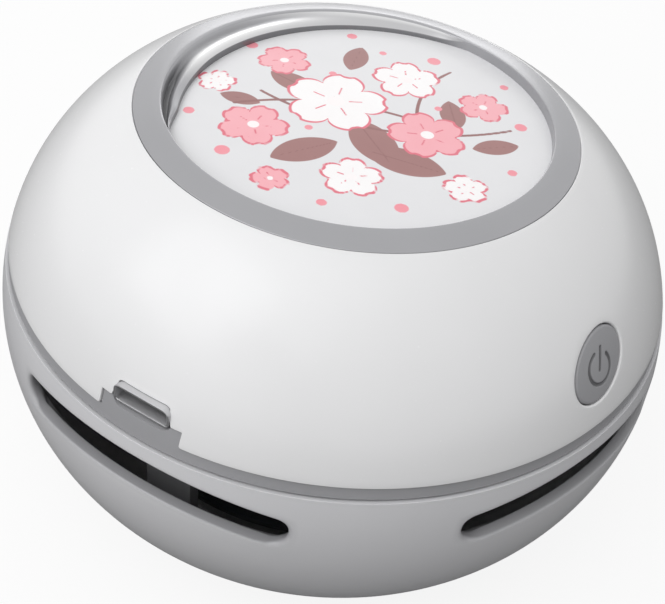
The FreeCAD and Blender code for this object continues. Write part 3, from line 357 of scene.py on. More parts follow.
def toned(material, suffix, label, code, share):
    """A copy of a finish that turns to another colour where a value carried by the mesh rises to one.
    It carries painted shade on the slots' walls and in the ring's hollows, a painted highlight on
    the ring's crown, and a darker groove in the button's mark."""
    made = material.copy()
    made.name = material.name + "_" + suffix
    tree = made.node_tree
    shader = next(n for n in tree.nodes if n.type == "BSDF_PRINCIPLED")
    before = shader.inputs["Base Color"].links[0].from_socket
    mark = add(tree, "ShaderNodeAttribute", {"attribute_name": label})
    mask = add(tree, "ShaderNodeMapRange", {"To Max": share}, {"Value": mark.outputs["Fac"]})
    mixed = add(tree, "ShaderNodeMix", {"data_type": "RGBA", 7: linear(code)},
                {0: mask.outputs[0], 6: before})
    tree.links.new(mixed.outputs[2], shader.inputs["Base Color"])
    return made


def plain_metal(name, dark, light, roughness, line_mm=0.12, along="Z"):
    """Drawn or rolled metal: long fine lines left by the die vary its shade and its gloss. They are
    drawn coarser than real, or they wouldn't show."""
    material, tree, out, place = blank(name)
    stretch = {"X": (0.06, 1, 1), "Y": (1, 0.06, 1), "Z": (1, 1, 0.06)}[along]
    drawn = add(tree, "ShaderNodeMapping", {"Scale": stretch}, {"Vector": place})
    lines = add(tree, "ShaderNodeTexNoise", {"Scale": 1 / (line_mm * MM), "Detail": 3.0},
                {"Vector": drawn.outputs[0]})
    stain = add(tree, "ShaderNodeTexNoise", {"Scale": 1 / (3 * MM), "Detail": 2.0}, {"Vector": place})
    both = add(tree, "ShaderNodeMath", {"operation": "MULTIPLY"},
               {0: lines.outputs[0], 1: stain.outputs[0]})
    wide = add(tree, "ShaderNodeMapRange", {"From Min": 0.1, "From Max": 0.4}, {"Value": both.outputs[0]})
    tint = add(tree, "ShaderNodeMix", {"data_type": "RGBA", 6: linear(dark), 7: linear(light)},
               {0: wide.outputs[0]})
    gloss = add(tree, "ShaderNodeMapRange", {"To Min": roughness * 0.75, "To Max": roughness * 1.3},
                {"Value": lines.outputs[0]})
    bump = add(tree, "ShaderNodeBump", {"Strength": 0.12, "Distance": 0.02 * MM},
               {"Height": lines.outputs[0]})
    shader = add(tree, "ShaderNodeBsdfPrincipled", {"Metallic": 1.0},
                 {"Base Color": tint.outputs[2], "Roughness": gloss.outputs[0], "Normal": bump.outputs[0]})
    tree.links.new(shader.outputs[0], out.inputs[0])
    return material


# Finishes

# Glossy white ABS from a polished mould: bright, even, with soft broad highlights
white_abs = moulded("white_polished_abs", "#e7e7e8", "#ededee", 0.26, grain=0.01, ripple=0.15, spread=0.03)
# Silver paint on the ABS trim: flakes in it mirror the room, soft and grey
grey_trim = moulded("silver_painted_abs", "#a0a0a3", "#a9a9ac", 0.33, grain=0.05, grain_mm=0.25, metal=0.55)
# The same grey moulded in the mass for the frame: slightly darker and duller than the trim
grey_frame = moulded("grey_moulded_abs", "#98989b", "#a2a2a5", 0.42, grain=0.06, grain_mm=0.3)
# Light grey ABS of the bowl: satin, pale
pale_abs = moulded("light_grey_moulded_abs", "#d3d3d6", "#dadadc", 0.33, grain=0.03, ripple=0.12)
# Mid grey ABS of the button: fine matt texture from a spark-eroded mould
button_abs = moulded("mid_grey_textured_abs", "#98989b", "#a1a1a4", 0.45, grain=0.16, grain_mm=0.3)
# Black ABS of the parts inside the base: dull, takes almost no light
black_abs = moulded("black_moulded_abs", "#2a2c30", "#33363b", 0.5, grain=0.1)
# Dark blue-grey nylon of the fan wheel: waxy satin
fan_nylon = moulded("slate_nylon", "#2b3038", "#363c46", 0.4, grain=0.05)
# Slate grey polypropylene of the filter frame: waxy
filter_pp = moulded("slate_polypropylene", "#3a3f47", "#454a53", 0.45, grain=0.05)
# Black silicone rubber: matt and dusty
soft_rubber = moulded("black_silicone_rubber", "#1c1c1d", "#2a2a2b", 0.72, grain=0.25, grain_mm=0.2,
                      sheen=0.2)
# Black glass-filled nylon of the motor end and switch: dry, slightly speckled
dry_nylon = moulded("black_glass_filled_nylon", "#161617", "#252527", 0.6, grain=0.3, grain_mm=0.15)
# Black epoxy of packaged electronic parts: matt with fine grit
chip_epoxy = moulded("black_epoxy", "#19191b", "#242427", 0.55, grain=0.2, grain_mm=0.12)
# Blue heat-shrink sleeve on the cell: thin glossy skin, slightly rippled
shrink_sleeve = moulded("blue_heat_shrink", "#1f4f86", "#265c98", 0.25, ripple=0.8)
# Red PVC insulation of the leads: soft gloss
red_pvc = moulded("red_wire_pvc", "#a31a1c", "#b82325", 0.38)
# Sintered ferrite of the magnets: charcoal, dull
ferrite = moulded("sintered_ferrite", "#2e2e30", "#3a3a3c", 0.55, grain=0.4, grain_mm=0.15)
# Zinc-plated steel of screws and shaft: bright grey with die lines
zinc_steel = plain_metal("zinc_plated_steel", "#a9abad", "#d0d2d4", 0.28)
# Deep-drawn nickel-plated steel of the motor can: soft drawn sheen
drawn_steel = plain_metal("nickel_plated_steel", "#9a9a9b", "#bdbdbe", 0.3, along="Y")
# Tin-plated stamped steel of the port's sleeve: satin, even
tin_plate = moulded("tin_plated_steel", "#b9b9bb", "#c4c4c6", 0.42, grain=0.04, grain_mm=0.2, metal=0.9)
# Sintered bronze of bushings and terminals: brown-gold
bronze = plain_metal("sintered_bronze", "#8a6a3c", "#b08b52", 0.4)
# Stacked silicon steel of the armature: dark edges of thin sheets
lamination = plain_metal("silicon_steel_sheets", "#4c4a47", "#77736d", 0.45, line_mm=0.35, along="X")


def smoky_polycarbonate():
    """Smoky clear polycarbonate of the dust cup: see-through grey, clear gloss, faint flow lines."""
    material, tree, out, place = blank("smoky_polycarbonate")
    flow = add(tree, "ShaderNodeTexNoise", {"Scale": 1 / (9 * MM), "Detail": 2.0}, {"Vector": place})
    tint = add(tree, "ShaderNodeMix", {"data_type": "RGBA", 6: linear("#8d9095"), 7: linear("#a2a5aa")},
               {0: flow.outputs[0]})
    gloss = add(tree, "ShaderNodeMapRange", {"To Min": 0.05, "To Max": 0.12}, {"Value": flow.outputs[0]})
    bump = add(tree, "ShaderNodeBump", {"Strength": 0.1, "Distance": 0.05 * MM},
               {"Height": flow.outputs[0]})
    shader = add(tree, "ShaderNodeBsdfPrincipled", {"IOR": 1.58, "Transmission Weight": 0.85},
                 {"Base Color": tint.outputs[2], "Roughness": gloss.outputs[0], "Normal": bump.outputs[0]})
    tree.links.new(shader.outputs[0], out.inputs[0])
    return material


def solder_mask():
    """Green solder mask over copper: glossy, with lighter tracks in a small grid of runs."""
    material, tree, out, place = blank("green_solder_mask")
    cells = add(tree, "ShaderNodeTexBrick",
                {"Scale": 1 / (6 * MM), "Mortar Size": 0.035, "Color1": linear("#0f4a2a"),
                 "Color2": linear("#125432"), "Mortar": linear("#2c7a4c")}, {"Vector": place})
    bump = add(tree, "ShaderNodeBump", {"Strength": 0.3, "Distance": 0.04 * MM},
               {"Height": cells.outputs["Fac"]})
    grain = add(tree, "ShaderNodeTexNoise", {"Scale": 1 / (0.4 * MM)}, {"Vector": place})
    gloss = add(tree, "ShaderNodeMapRange", {"To Min": 0.22, "To Max": 0.4}, {"Value": grain.outputs[0]})
    shader = add(tree, "ShaderNodeBsdfPrincipled", {},
                 {"Base Color": cells.outputs["Color"], "Roughness": gloss.outputs[0],
                  "Normal": bump.outputs[0]})
    tree.links.new(shader.outputs[0], out.inputs[0])
    return material


def filter_paper():
    """Cream filter paper: felted fibres, drawn coarser than real to show, give a dry, fuzzy surface
    with grey dust in it."""
    material, tree, out, place = blank("cream_filter_paper")
    fibre = add(tree, "ShaderNodeTexNoise", {"Scale": 1 / (0.4 * MM), "Detail": 5.0, "Roughness": 0.7},
                {"Vector": place})
    dust = add(tree, "ShaderNodeTexNoise", {"Scale": 1 / (7 * MM), "Detail": 3.0}, {"Vector": place})
    both = add(tree, "ShaderNodeMath", {"operation": "MULTIPLY"}, {0: fibre.outputs[0], 1: dust.outputs[0]})
    tint = add(tree, "ShaderNodeMix", {"data_type": "RGBA", 6: linear("#b9b5a8"), 7: linear("#e4e0d2")},
               {0: both.outputs[0]})
    bump = add(tree, "ShaderNodeBump", {"Strength": 0.5, "Distance": 0.1 * MM},
               {"Height": fibre.outputs[0]})
    shader = add(tree, "ShaderNodeBsdfPrincipled", {"Roughness": 0.9, "Sheen Weight": 0.3},
                 {"Base Color": tint.outputs[2], "Normal": bump.outputs[0]})
    tree.links.new(shader.outputs[0], out.inputs[0])
    return material


def printed_film():
    """Varnished film on the disc: a pale pearl ground printed with blossoms, leaves and dots. Each
    colour's edge is the zero line of a distance in millimetres that the mesh carries."""
    material, tree, out, place = blank("printed_varnished_film")
    mottle = add(tree, "ShaderNodeTexNoise", {"Scale": 1 / (6 * MM), "Detail": 2.0}, {"Vector": place})
    colour = add(tree, "ShaderNodeMix", {"data_type": "RGBA", 6: linear("#e3e3e5"), 7: linear("#e9e9eb")},
                 {0: mottle.outputs[0]}).outputs[2]
    inks = (("leaf", "#9c6e6c", "#a87a77"), ("branch", "#8e605f", "#9c6c6a"),
            ("petal", "#f7abb4", "#fbbac2"), ("pale", "#fbf7f7", "#ffffff"),
            ("outline", "#e0697b", "#e97c8c"), ("heart", "#ffffff", "#fff4f4"),
            ("dot", "#f38e9b", "#f7a3ae"))
    for label, low, high in inks:
        edge = add(tree, "ShaderNodeAttribute", {"attribute_name": label})
        mask = add(tree, "ShaderNodeMapRange", {"From Min": 0.05, "From Max": -0.05},
                   {"Value": edge.outputs["Fac"]})
        ink = add(tree, "ShaderNodeMix", {"data_type": "RGBA", 6: linear(low), 7: linear(high)},
                  {0: mottle.outputs[0]})
        colour = add(tree, "ShaderNodeMix", {"data_type": "RGBA"},
                     {0: mask.outputs[0], 6: colour, 7: ink.outputs[2]}).outputs[2]
    grain = add(tree, "ShaderNodeTexNoise", {"Scale": 1 / (0.5 * MM), "Detail": 2.0}, {"Vector": place})
    gloss = add(tree, "ShaderNodeMapRange", {"To Min": 0.25, "To Max": 0.36}, {"Value": grain.outputs[0]})
    bump = add(tree, "ShaderNodeBump", {"Strength": 0.03, "Distance": 0.05 * MM},
               {"Height": grain.outputs[0]})
    shader = add(tree, "ShaderNodeBsdfPrincipled", {"IOR": 1.5},
                 {"Base Color": colour, "Roughness": gloss.outputs[0], "Normal": bump.outputs[0]})
    tree.links.new(shader.outputs[0], out.inputs[0])
    return material


# Pieces

def upper_dome():
    """White dome. Rows run from its lower edge to its top on the upper arc; the lower edge steps up
    over the frame's tab and the port, and the columns there fan out to follow it. The button's hole
    is a leaning oval, and a closed dish under the disc is the floor of the recess."""
    fan_half = 7.2
    skirt_top = 43.0
    inset = 0.1
    low = DOME_LOW + inset
    half = PORT_WIDE / 2 + PORT_GAP + inset
    top = PORT_HEIGHT + PORT_TALL / 2 + PORT_GAP + inset
    notch = TAB_HALF + inset
    tab = TAB_TOP + inset
    corner = PORT_CORNER + PORT_GAP + inset
    turn = np.radians(np.linspace(0, 90, 9))
    arch = np.stack([-half + corner - corner * np.cos(turn), top - corner + corner * np.sin(turn)], axis=1)
    lip = 0.15
    step = np.stack([-notch + lip - lip * np.cos(turn), tab - lip + lip * np.sin(turn)], axis=1)
    side = np.concatenate([[[-fan_half, low], [-6.6, low], [-notch - 0.3, low], [-notch - 0.06, low + 0.02],
                            [-notch, low + 0.12], [-notch, (low + tab) / 2]], step,
                           [[-half - 0.25, tab], [-half - 0.05, tab + 0.03], [-half, tab + 0.12]], arch,
                           [[-half / 2, top]]])
    path = np.concatenate([side, [[0.0, top]], (side * [-1, 1])[::-1]])
    edge_y = -np.sqrt(arc_reach(path[:, 1]) ** 2 - path[:, 0] ** 2)
    port_edge = np.stack([path[:, 0], edge_y, path[:, 1]], axis=1)
    window = np.degrees(np.arctan2(fan_half, -edge_y[0]))
    plain_az = np.arange(window, 360 - window, COLUMN_STEP)[1:]
    fan = np.linspace(-window, window, len(path))
    azimuth = np.concatenate([fan, plain_az])
    plain_edge = direction(plain_az) * arc_reach(low)
    plain_edge[:, 2] = low
    base = np.concatenate([port_edge, plain_edge])
    rise = np.degrees(np.arcsin((np.array([skirt_top, DOME_TOP - 0.03]) - EQUATOR) / UPPER_ARC))
    angles = np.radians(np.linspace(rise[0], rise[1], 40))
    rows = direction(azimuth)[None] * (BODY_RADIUS - UPPER_ARC + UPPER_ARC * np.cos(angles))[:, None, None]
    rows[..., 2] = (EQUATOR + UPPER_ARC * np.sin(angles))[:, None]
    t = np.linspace(0, 1, 9)[:-1, None, None]
    skirt = base * (1 - t) + rows[0] * t
    skirt = settle(skirt, form_normal(skirt))
    outer = np.concatenate([skirt, rows])
    normal = form_normal(outer)
    # Round the port the inner side lies straight behind the outer one, so the opening's wall is level
    near = smooth(np.abs(outer[..., 0]), 7.0, 5.0) * smooth(outer[..., 2], 37.9, 38.4)
    near = near * smooth(outer[..., 2], skirt_top, 41.8) * (outer[..., 1] < 0)
    level = np.zeros_like(normal)
    level[..., 1] = -1.0
    inner_plain = outer - normal * WALL
    inner_level = settle(outer, level, WALL)
    inner = inner_plain * (1 - near[..., None]) + inner_level * near[..., None]
    along = np.roll(base, -1, axis=0) - np.roll(base, 1, axis=0)
    away = np.cross(along, form_normal(base))
    away /= np.linalg.norm(away, axis=1, keepdims=True)
    away *= -np.sign((away * (rows[0] - base)).sum(1, keepdims=True))
    top_way = np.cross(np.cross(normal[-1], [0.0, 0.0, 1.0]), normal[-1])
    top_way /= np.linalg.norm(top_way, axis=1, keepdims=True)

    centre, across, up, out = dome_place(BUTTON_AZ, BUTTON_HEIGHT)
    angle = np.radians(np.arange(0, 360, 0.5))
    lean = np.radians(BUTTON_LEAN)
    long_half = BUTTON_LONG + BUTTON_GAP
    short_half = BUTTON_SHORT + BUTTON_GAP
    oval = np.stack([long_half * np.cos(angle), short_half * np.sin(angle)], axis=1)
    flare = np.stack([np.cos(angle) / long_half, np.sin(angle) / short_half], axis=1)
    flare /= np.linalg.norm(flare, axis=1, keepdims=True)
    turn_by = np.array([[math.cos(lean), math.sin(lean)], [-math.sin(lean), math.cos(lean)]])
    window_half = 10
    window_top = 51.0
    first = int(np.abs((azimuth % 360) - (BUTTON_AZ - window_half)).argmin())
    last = int(np.abs((azimuth % 360) - (BUTTON_AZ + window_half)).argmin())
    row_low = 3
    row_high = len(skirt) + int(np.abs(rows[:, 0, 2] - window_top).argmin())

    def button_hole(border_outer, border_inner):
        return opening_rings(border_outer, border_inner, centre, across, up, out, oval @ turn_by,
                             flare @ turn_by, WALL, steps=6, roll=0.25)

    parts = wall_parts(outer, inner, [(row_low, row_high, first, last, button_hole)],
                       away * inset, top_way * 0.05)
    under = DISC_TOP - DISC_THICK
    bottom = under - 1.6
    gap = 0.2
    dish = rounded([(0.0, bottom), (arc_reach(bottom, 1.0), bottom), (RING_OUTER + 0.7, under + 1.0),
                    (RING_OUTER + gap, DISC_TOP), (DISC_RADIUS + gap, DISC_TOP), (DISC_RADIUS + gap, under),
                    (0.0, under)], [0.0, 0.1, 0.1, 0.1, 0.1, 0.1, 0.0], 3)
    dish_points = turned(dish, 180)
    parts.append((dish_points, grid_faces(len(dish), 180, wrap_rows=True, wrap_cols=True)))
    return piece("upper_dome", "upper_body", white_abs, parts, ["upper_shell"])


def dome_place(azimuth, height):
    """A point on the dome, and unit vectors along it, up it and out of it."""
    rise = math.asin((height - EQUATOR) / UPPER_ARC)
    level = direction(azimuth)
    across = direction(azimuth + 90)
    lift = np.array([0.0, 0.0, 1.0])
    out = level * math.cos(rise) + lift * math.sin(rise)
    up = lift * math.cos(rise) - level * math.sin(rise)
    centre = level * float(arc_reach(height)) + lift * height
    return centre, across, up, out


def lower_bowl():
    """Light grey bowl: floor, lower arc and upper arc in one profile, with five long slots that
    arch upwards. The wall thins towards their edges, less at the ends and the sill than above. A
    slot is a straight outline bent round a circle: a point at x, y goes to the angle x over the
    bow, at the bow plus y. Its walls carry a value for painted shade, which starts on the lip."""
    window_half = 28.5
    ring_steps = 4
    floor_edge = float(arc_reach(BOWL_LOW))
    floor = np.stack([np.linspace(NOZZLE_HOLE, floor_edge - 0.6, 8), np.full(8, BOWL_LOW)], axis=1)
    low_angle = np.arcsin((BOWL_LOW + 0.45 - EQUATOR) / LOWER_ARC)
    low = np.linspace(low_angle, np.radians(-1.2), 34)
    belly = np.stack([BODY_RADIUS - LOWER_ARC + LOWER_ARC * np.cos(low),
                      EQUATOR + LOWER_ARC * np.sin(low)], axis=1)
    heights = np.linspace(EQUATOR - 0.3, BOWL_RIM - 0.06, 12)
    brim = np.stack([arc_reach(heights), heights], axis=1)
    profile = np.concatenate([floor, belly[:-1], brim])
    along = np.gradient(profile, axis=0)
    flat_normal = np.stack([along[:, 1], -along[:, 0]], axis=1)
    flat_normal /= np.linalg.norm(flat_normal, axis=1, keepdims=True)
    azimuth = np.arange(0, 360, COLUMN_STEP)
    outer = turned(profile, len(azimuth))
    inner = turned(profile - flat_normal * WALL, len(azimuth))
    start = len(floor) + len(belly) - 1
    radius = SLOT_TALL * 0.49
    half = SLOT_HALF - radius
    flat = SLOT_TALL / 2 - radius
    corners = [(-SLOT_HALF, -SLOT_TALL / 2), (SLOT_HALF, -SLOT_TALL / 2),
               (SLOT_HALF, SLOT_TALL / 2), (-SLOT_HALF, SLOT_TALL / 2)]
    arcs = rounded(corners, [radius] * 4, 24).reshape(4, 24, 2)
    t = np.linspace(0, 1, 60)[1:-1, None]
    sides = [arcs[k, -1] * (1 - t) + arcs[(k + 1) % 4, 0] * t for k in range(4)]
    path = np.concatenate([part for k in range(4) for part in (arcs[k], sides[k])])
    core = np.stack([np.clip(path[:, 0], -half, half), np.clip(path[:, 1], -flat, flat)], axis=1)
    flare = (path - core) / np.linalg.norm(path - core, axis=1, keepdims=True)
    ends = smooth(np.abs(path[:, 0]), SLOT_HALF - 2.2, SLOT_HALF - 0.3)
    sill = smooth(path[:, 1], 0.8, -0.8)
    roll = 0.25 + 0.5 * ends
    depth = SLOT_WALL + np.maximum(0.7 * ends, 0.3 * sill)
    bend = path[:, 0] / SLOT_BOW
    reach = SLOT_BOW + path[:, 1]
    path = np.stack([reach * np.sin(bend), reach * np.cos(bend) - SLOT_BOW], axis=1)
    flare = np.stack([flare[:, 0] * np.cos(bend) + flare[:, 1] * np.sin(bend),
                      -flare[:, 0] * np.sin(bend) + flare[:, 1] * np.cos(bend)], axis=1)
    windows = []
    for middle in SLOT_AZ:
        level = direction(middle)
        centre = level * float(arc_reach(SLOT_HEIGHT)) + np.array([0.0, 0.0, SLOT_HEIGHT])

        def slot(border_outer, border_inner, level=level, middle=middle, centre=centre):
            return opening_rings(border_outer, border_inner, centre, direction(middle + 90),
                                 np.array([0.0, 0.0, 1.0]), level, path, flare, depth, ring_steps, roll)

        first = int(round((middle - window_half) / COLUMN_STEP))
        windows.append((start, len(profile) - 2, first, first + int(2 * window_half / COLUMN_STEP), slot))
    inwards = -direction(azimuth)
    rim_way = np.zeros((len(azimuth), 3))
    rim_way[:, 2] = 0.06
    parts = wall_parts(outer, inner, windows, inwards * 0.15, rim_way)
    # Painted shade: the slots' walls turn darker grey from the lip inwards, standing in for shade inside
    # the slots
    shade = [np.zeros(grid.shape[:2]) for grid, _ in parts]
    for values in shade[:len(SLOT_AZ)]:
        values[ring_steps:ring_steps + 4] = np.linspace(0.15, 1.0, 4)[:, None]
        values[ring_steps + 4:] = 1.0
    # The bowl's grey with the painted shade of the slots mixed in
    finish = toned(pale_abs, "painted_shade_slot_walls", "shade", "#66666a", 0.65)
    return piece("lower_bowl", "base", finish, parts, ["lower_shell"],
                 marks={"shade": np.concatenate([values.ravel() for values in shade])})


def trim_ring():
    """Grey ring: a band that slopes outwards and a side that drops to the disc. A circle off the
    axis leaves a crescent ledge inside the band: its reach is the shift times cos plus the root of
    its radius squared less the shift times sin squared. Across the ledge the height is that of the
    band's edge, less a valley that is deepest at a fifth of the width and closed at 0.72 of it, and
    less a fall: at the back half the width's share to the power 1.3, elsewhere a late drop of 0.3.
    The valley is deep at the crescent's left tip and gone at the back, where band and ledge are
    one. The mesh carries where a highlight is painted on the crown and where shade is painted in the
    hollows and on the side."""
    azimuth = np.arange(0, 360, 1.0)
    phi = np.radians(azimuth - LEDGE_AZ)
    rim = LEDGE_SHIFT * np.cos(phi) + np.sqrt(LEDGE_RADIUS ** 2 - (LEDGE_SHIFT * np.sin(phi)) ** 2)
    widest = RING_INNER - 0.02
    rim = np.minimum(rim, widest)
    rim += (widest - rim) * smooth(azimuth, 309.0, 327.0)
    width = RING_INNER - rim
    share = smooth(width, 0.05, 0.9)
    behind = smooth(azimuth, 262.0, 208.0)
    tip = smooth(azimuth, 276.0, 300.0)
    columns = len(azimuth)

    slope = (RING_TOP - RING_EDGE) / (RING_OUTER - RING_INNER)
    outside = rounded([(RING_OUTER, DISC_TOP), (RING_OUTER, RING_EDGE),
                       (RING_INNER + 1.2, RING_EDGE + slope * 2.05), (RING_INNER + 1.2, DISC_TOP)],
                      [0.0, 0.08, 0.0, 0.0], 5)[:-8]
    outside = np.repeat(outside[:, None, :], columns, axis=1)
    bend = 0.15 + 0.45 * share * (1 - 0.7 * tip)
    turn = np.linspace(0, 1, 13)[:, None] * np.pi / 2
    steep = (1 - share) + share * (0.18 + 0.5 * tip)
    edge_r = RING_INNER + bend * (1 - np.sin(turn))
    edge_z = RING_TOP - slope * bend - bend * (1 - np.cos(turn)) * steep
    sweep = np.linspace(0, 1, 49)[1:, None]
    valley = (0.36 * (1 - behind) + 0.75 * tip) * share
    pit = smooth(sweep, 0, 0.16 + 0.04 * tip) * smooth(sweep, 0.72, 0.2)
    crown = edge_z[-1] - 0.02 - 0.2 * tip * share
    fall = share * (0.5 * behind * sweep ** 1.3 + (1 - behind) * 0.3 * smooth(sweep, 0.66, 1.1) ** 1.2)
    blend = smooth(sweep, 0, 0.3)
    ledge_z = edge_z[-1] * (1 - blend) + crown * blend - valley * pit - fall
    ledge_z = np.maximum(ledge_z, DISC_TOP + 0.1)
    ledge_r = RING_INNER * (1 - sweep) + rim * sweep
    lip = np.linspace(0, 1, 6)[1:, None] * np.pi / 2
    lip_r = rim - 0.1 * share * np.sin(lip)
    lip_z = ledge_z[-1] - 0.14 * share * (1 - np.cos(lip)) - 0.02 * (1 - share) * np.sin(lip)
    foot_r = np.repeat(lip_r[-1:], 2, axis=0)
    foot_z = np.array([[DISC_TOP + 0.05], [DISC_TOP]]) * np.ones((1, columns))
    # Tones of painted light: above zero a painted highlight, below zero painted shade
    band_tone = np.zeros((len(outside) + len(edge_r), columns))
    left = share * (1 - behind)
    # Painted highlight along the ledge's crown, and over the rounded band at the back
    bright = smooth(sweep, 0.3, 0.55) * (1 - 0.45 * smooth(sweep, 0.7, 1.0)) * left * (1 - tip)
    bright = bright + share * behind * (0.35 + 0.45 * smooth(sweep, 0.5, 0.0))
    # Painted shade in the valley's pit, deepest at the crescent's left tip
    painted_hollow_shade = pit * smooth(sweep, 0.6, 0.3) * (0.25 * left + 0.75 * tip * share)
    # Painted shade on the side that drops to the disc
    wall_tone = np.full((len(lip_r) + len(foot_r), columns), -0.55) * share
    tone = np.concatenate([band_tone, bright - painted_hollow_shade, wall_tone])
    reach = np.concatenate([outside[..., 0], edge_r, ledge_r, lip_r, foot_r])
    height = np.concatenate([outside[..., 1], edge_z, ledge_z, lip_z, foot_z])
    grid = direction(azimuth)[None] * reach[..., None]
    grid[..., 2] = height
    # The trim's grey with the painted highlight on the crown and the painted shade in the hollows mixed in
    finish = toned(grey_trim, "painted_highlight_crown", "crown", "#f2f2f2", 0.9)
    finish = toned(finish, "and_painted_shade_hollows", "painted_hollow_shade", "#3c3c3e", 0.9)
    return piece("trim_ring", "upper_body", finish,
                 [(grid, grid_faces(len(grid), columns, wrap_rows=True, wrap_cols=True))], ["top_ring"],
                 sharp=50.0, marks={"crown": np.maximum(tone, 0), "painted_hollow_shade": np.maximum(-tone, 0)})


def printed_disc():
    """Printed disc: a flat round plate whose top carries distances to the print's motifs."""
    rings = 150
    columns = 240
    azimuth = np.arange(columns) * 360.0 / columns
    reach = np.linspace(0, DISC_RADIUS - 0.15, rings)
    top = direction(azimuth)[None] * reach[:, None, None]
    top[..., 2] = DISC_TOP
    side = turned(np.array([(DISC_RADIUS, DISC_TOP - 0.15), (DISC_RADIUS, DISC_TOP - DISC_THICK),
                            (0.0, DISC_TOP - DISC_THICK)]), columns)
    grid = np.concatenate([top, side])
    marks = print_distances(grid.reshape(-1, 3))
    return piece("printed_disc", "upper_body", printed_film(),
                 [(grid, grid_faces(len(grid), columns, wrap_cols=True))], ["decor_disc"], marks=marks)


def print_distances(points):
    """Signed distances in millimetres, negative inside, for each ink. A blossom is a circle whose
    radius swells five times round; a leaf is where two circles overlap; a branch is a thin arc. The
    print stands upright to the photo's view."""
    turn = np.radians(VIEW_TURN)
    x = points[:, 0] * math.cos(turn) + points[:, 1] * math.sin(turn)
    y = -points[:, 0] * math.sin(turn) + points[:, 1] * math.cos(turn)
    labels = ("petal", "pale", "outline", "heart", "leaf", "branch", "dot")
    out = {label: np.full(len(points), 9.0) for label in labels}
    blossoms = [(-3.0, 2.0, 6.4, 10, "pale"), (8.4, -2.6, 4.8, 40, "petal"), (5.4, 9.4, 4.4, 25, "pale"),
                (-12.0, -5.6, 4.2, 0, "petal"), (-10.4, 10.0, 3.4, 55, "petal"),
                (0.2, -13.2, 3.6, 20, "pale"), (15.2, 5.4, 3.2, 5, "petal"), (13.0, -12.4, 2.6, 30, "pale"),
                (-17.8, 2.8, 2.4, 15, "pale"), (-8.6, -15.6, 2.2, 45, "petal")]
    for cx, cy, size, spin, ink in blossoms:
        dx, dy = x - cx, y - cy
        reach = np.hypot(dx, dy)
        angle = np.arctan2(dy, dx) - np.radians(spin)
        petal = np.abs(np.cos(2.5 * angle))
        edge = size * (0.62 + 0.38 * petal ** 0.55 - 0.07 * smooth(petal, 0.93, 1.0))
        flower = (reach - edge) * 0.8
        out[ink] = np.minimum(out[ink], flower)
        out["outline"] = np.minimum(out["outline"], np.abs(flower) - 0.16)
        vein = np.abs(np.sin(2.5 * angle)) * reach * 0.4
        vein = np.maximum(vein - 0.1, np.abs(reach - size * 0.38) - size * 0.13)
        out["outline"] = np.minimum(out["outline"], vein)
        out["heart"] = np.minimum(out["heart"], reach - size * 0.17)
    leaves = [(2.2, -5.8, 5.2, 300), (6.0, -8.8, 5.0, 345), (-8.6, 5.0, 3.6, 150), (11.4, 2.6, 3.2, 100),
              (-5.6, -9.2, 4.4, 215), (-1.4, 13.0, 3.2, 80), (-14.4, -0.4, 2.6, 170), (16.6, -3.2, 3.0, 20)]
    for cx, cy, size, spin in leaves:
        a = np.radians(spin)
        along = (x - cx) * math.cos(a) + (y - cy) * math.sin(a)
        side = -(x - cx) * math.sin(a) + (y - cy) * math.cos(a)
        shift = size * 0.75
        radius = math.hypot(size, shift)
        leaf = np.maximum(np.hypot(along, side - shift), np.hypot(along, side + shift)) - radius
        out["leaf"] = np.minimum(out["leaf"], leaf)
        rib = np.maximum(np.abs(side) - 0.09, np.abs(along) - size * 0.8)
        out["branch"] = np.minimum(out["branch"], rib)
    arcs = [(-2.0, -26.0, 27.6, 62, 118), (4.0, 26.0, 29.0, 236, 300), (24.0, 2.0, 17.0, 140, 205)]
    for cx, cy, radius, start, finish in arcs:
        dx, dy = x - cx, y - cy
        angle = np.degrees(np.arctan2(dy, dx)) % 360
        middle = (start + finish) / 2
        past = np.maximum(np.abs(angle - middle) - (finish - start) / 2, 0) * radius * np.pi / 180
        out["branch"] = np.minimum(out["branch"], np.hypot(np.hypot(dx, dy) - radius, past) - 0.22)
    dots = [(-15.0, 12.6, 0.8), (-2.4, 18.8, 0.7), (8.8, 15.2, 0.9), (18.0, 11.0, 0.6), (19.8, 2.0, 0.8),
            (18.4, -8.0, 0.6), (6.0, -17.6, 0.8), (-2.6, -18.6, 0.6), (-14.6, -11.6, 0.9),
            (-19.8, -4.6, 0.7), (-19.2, 9.0, 0.6), (-4.0, 8.4, 0.5), (9.6, 3.6, 0.5), (-5.6, -4.6, 0.5),
            (2.0, 15.4, 0.5)]
    for cx, cy, radius in dots:
        out["dot"] = np.minimum(out["dot"], np.hypot(x - cx, y - cy) - radius)
    return out


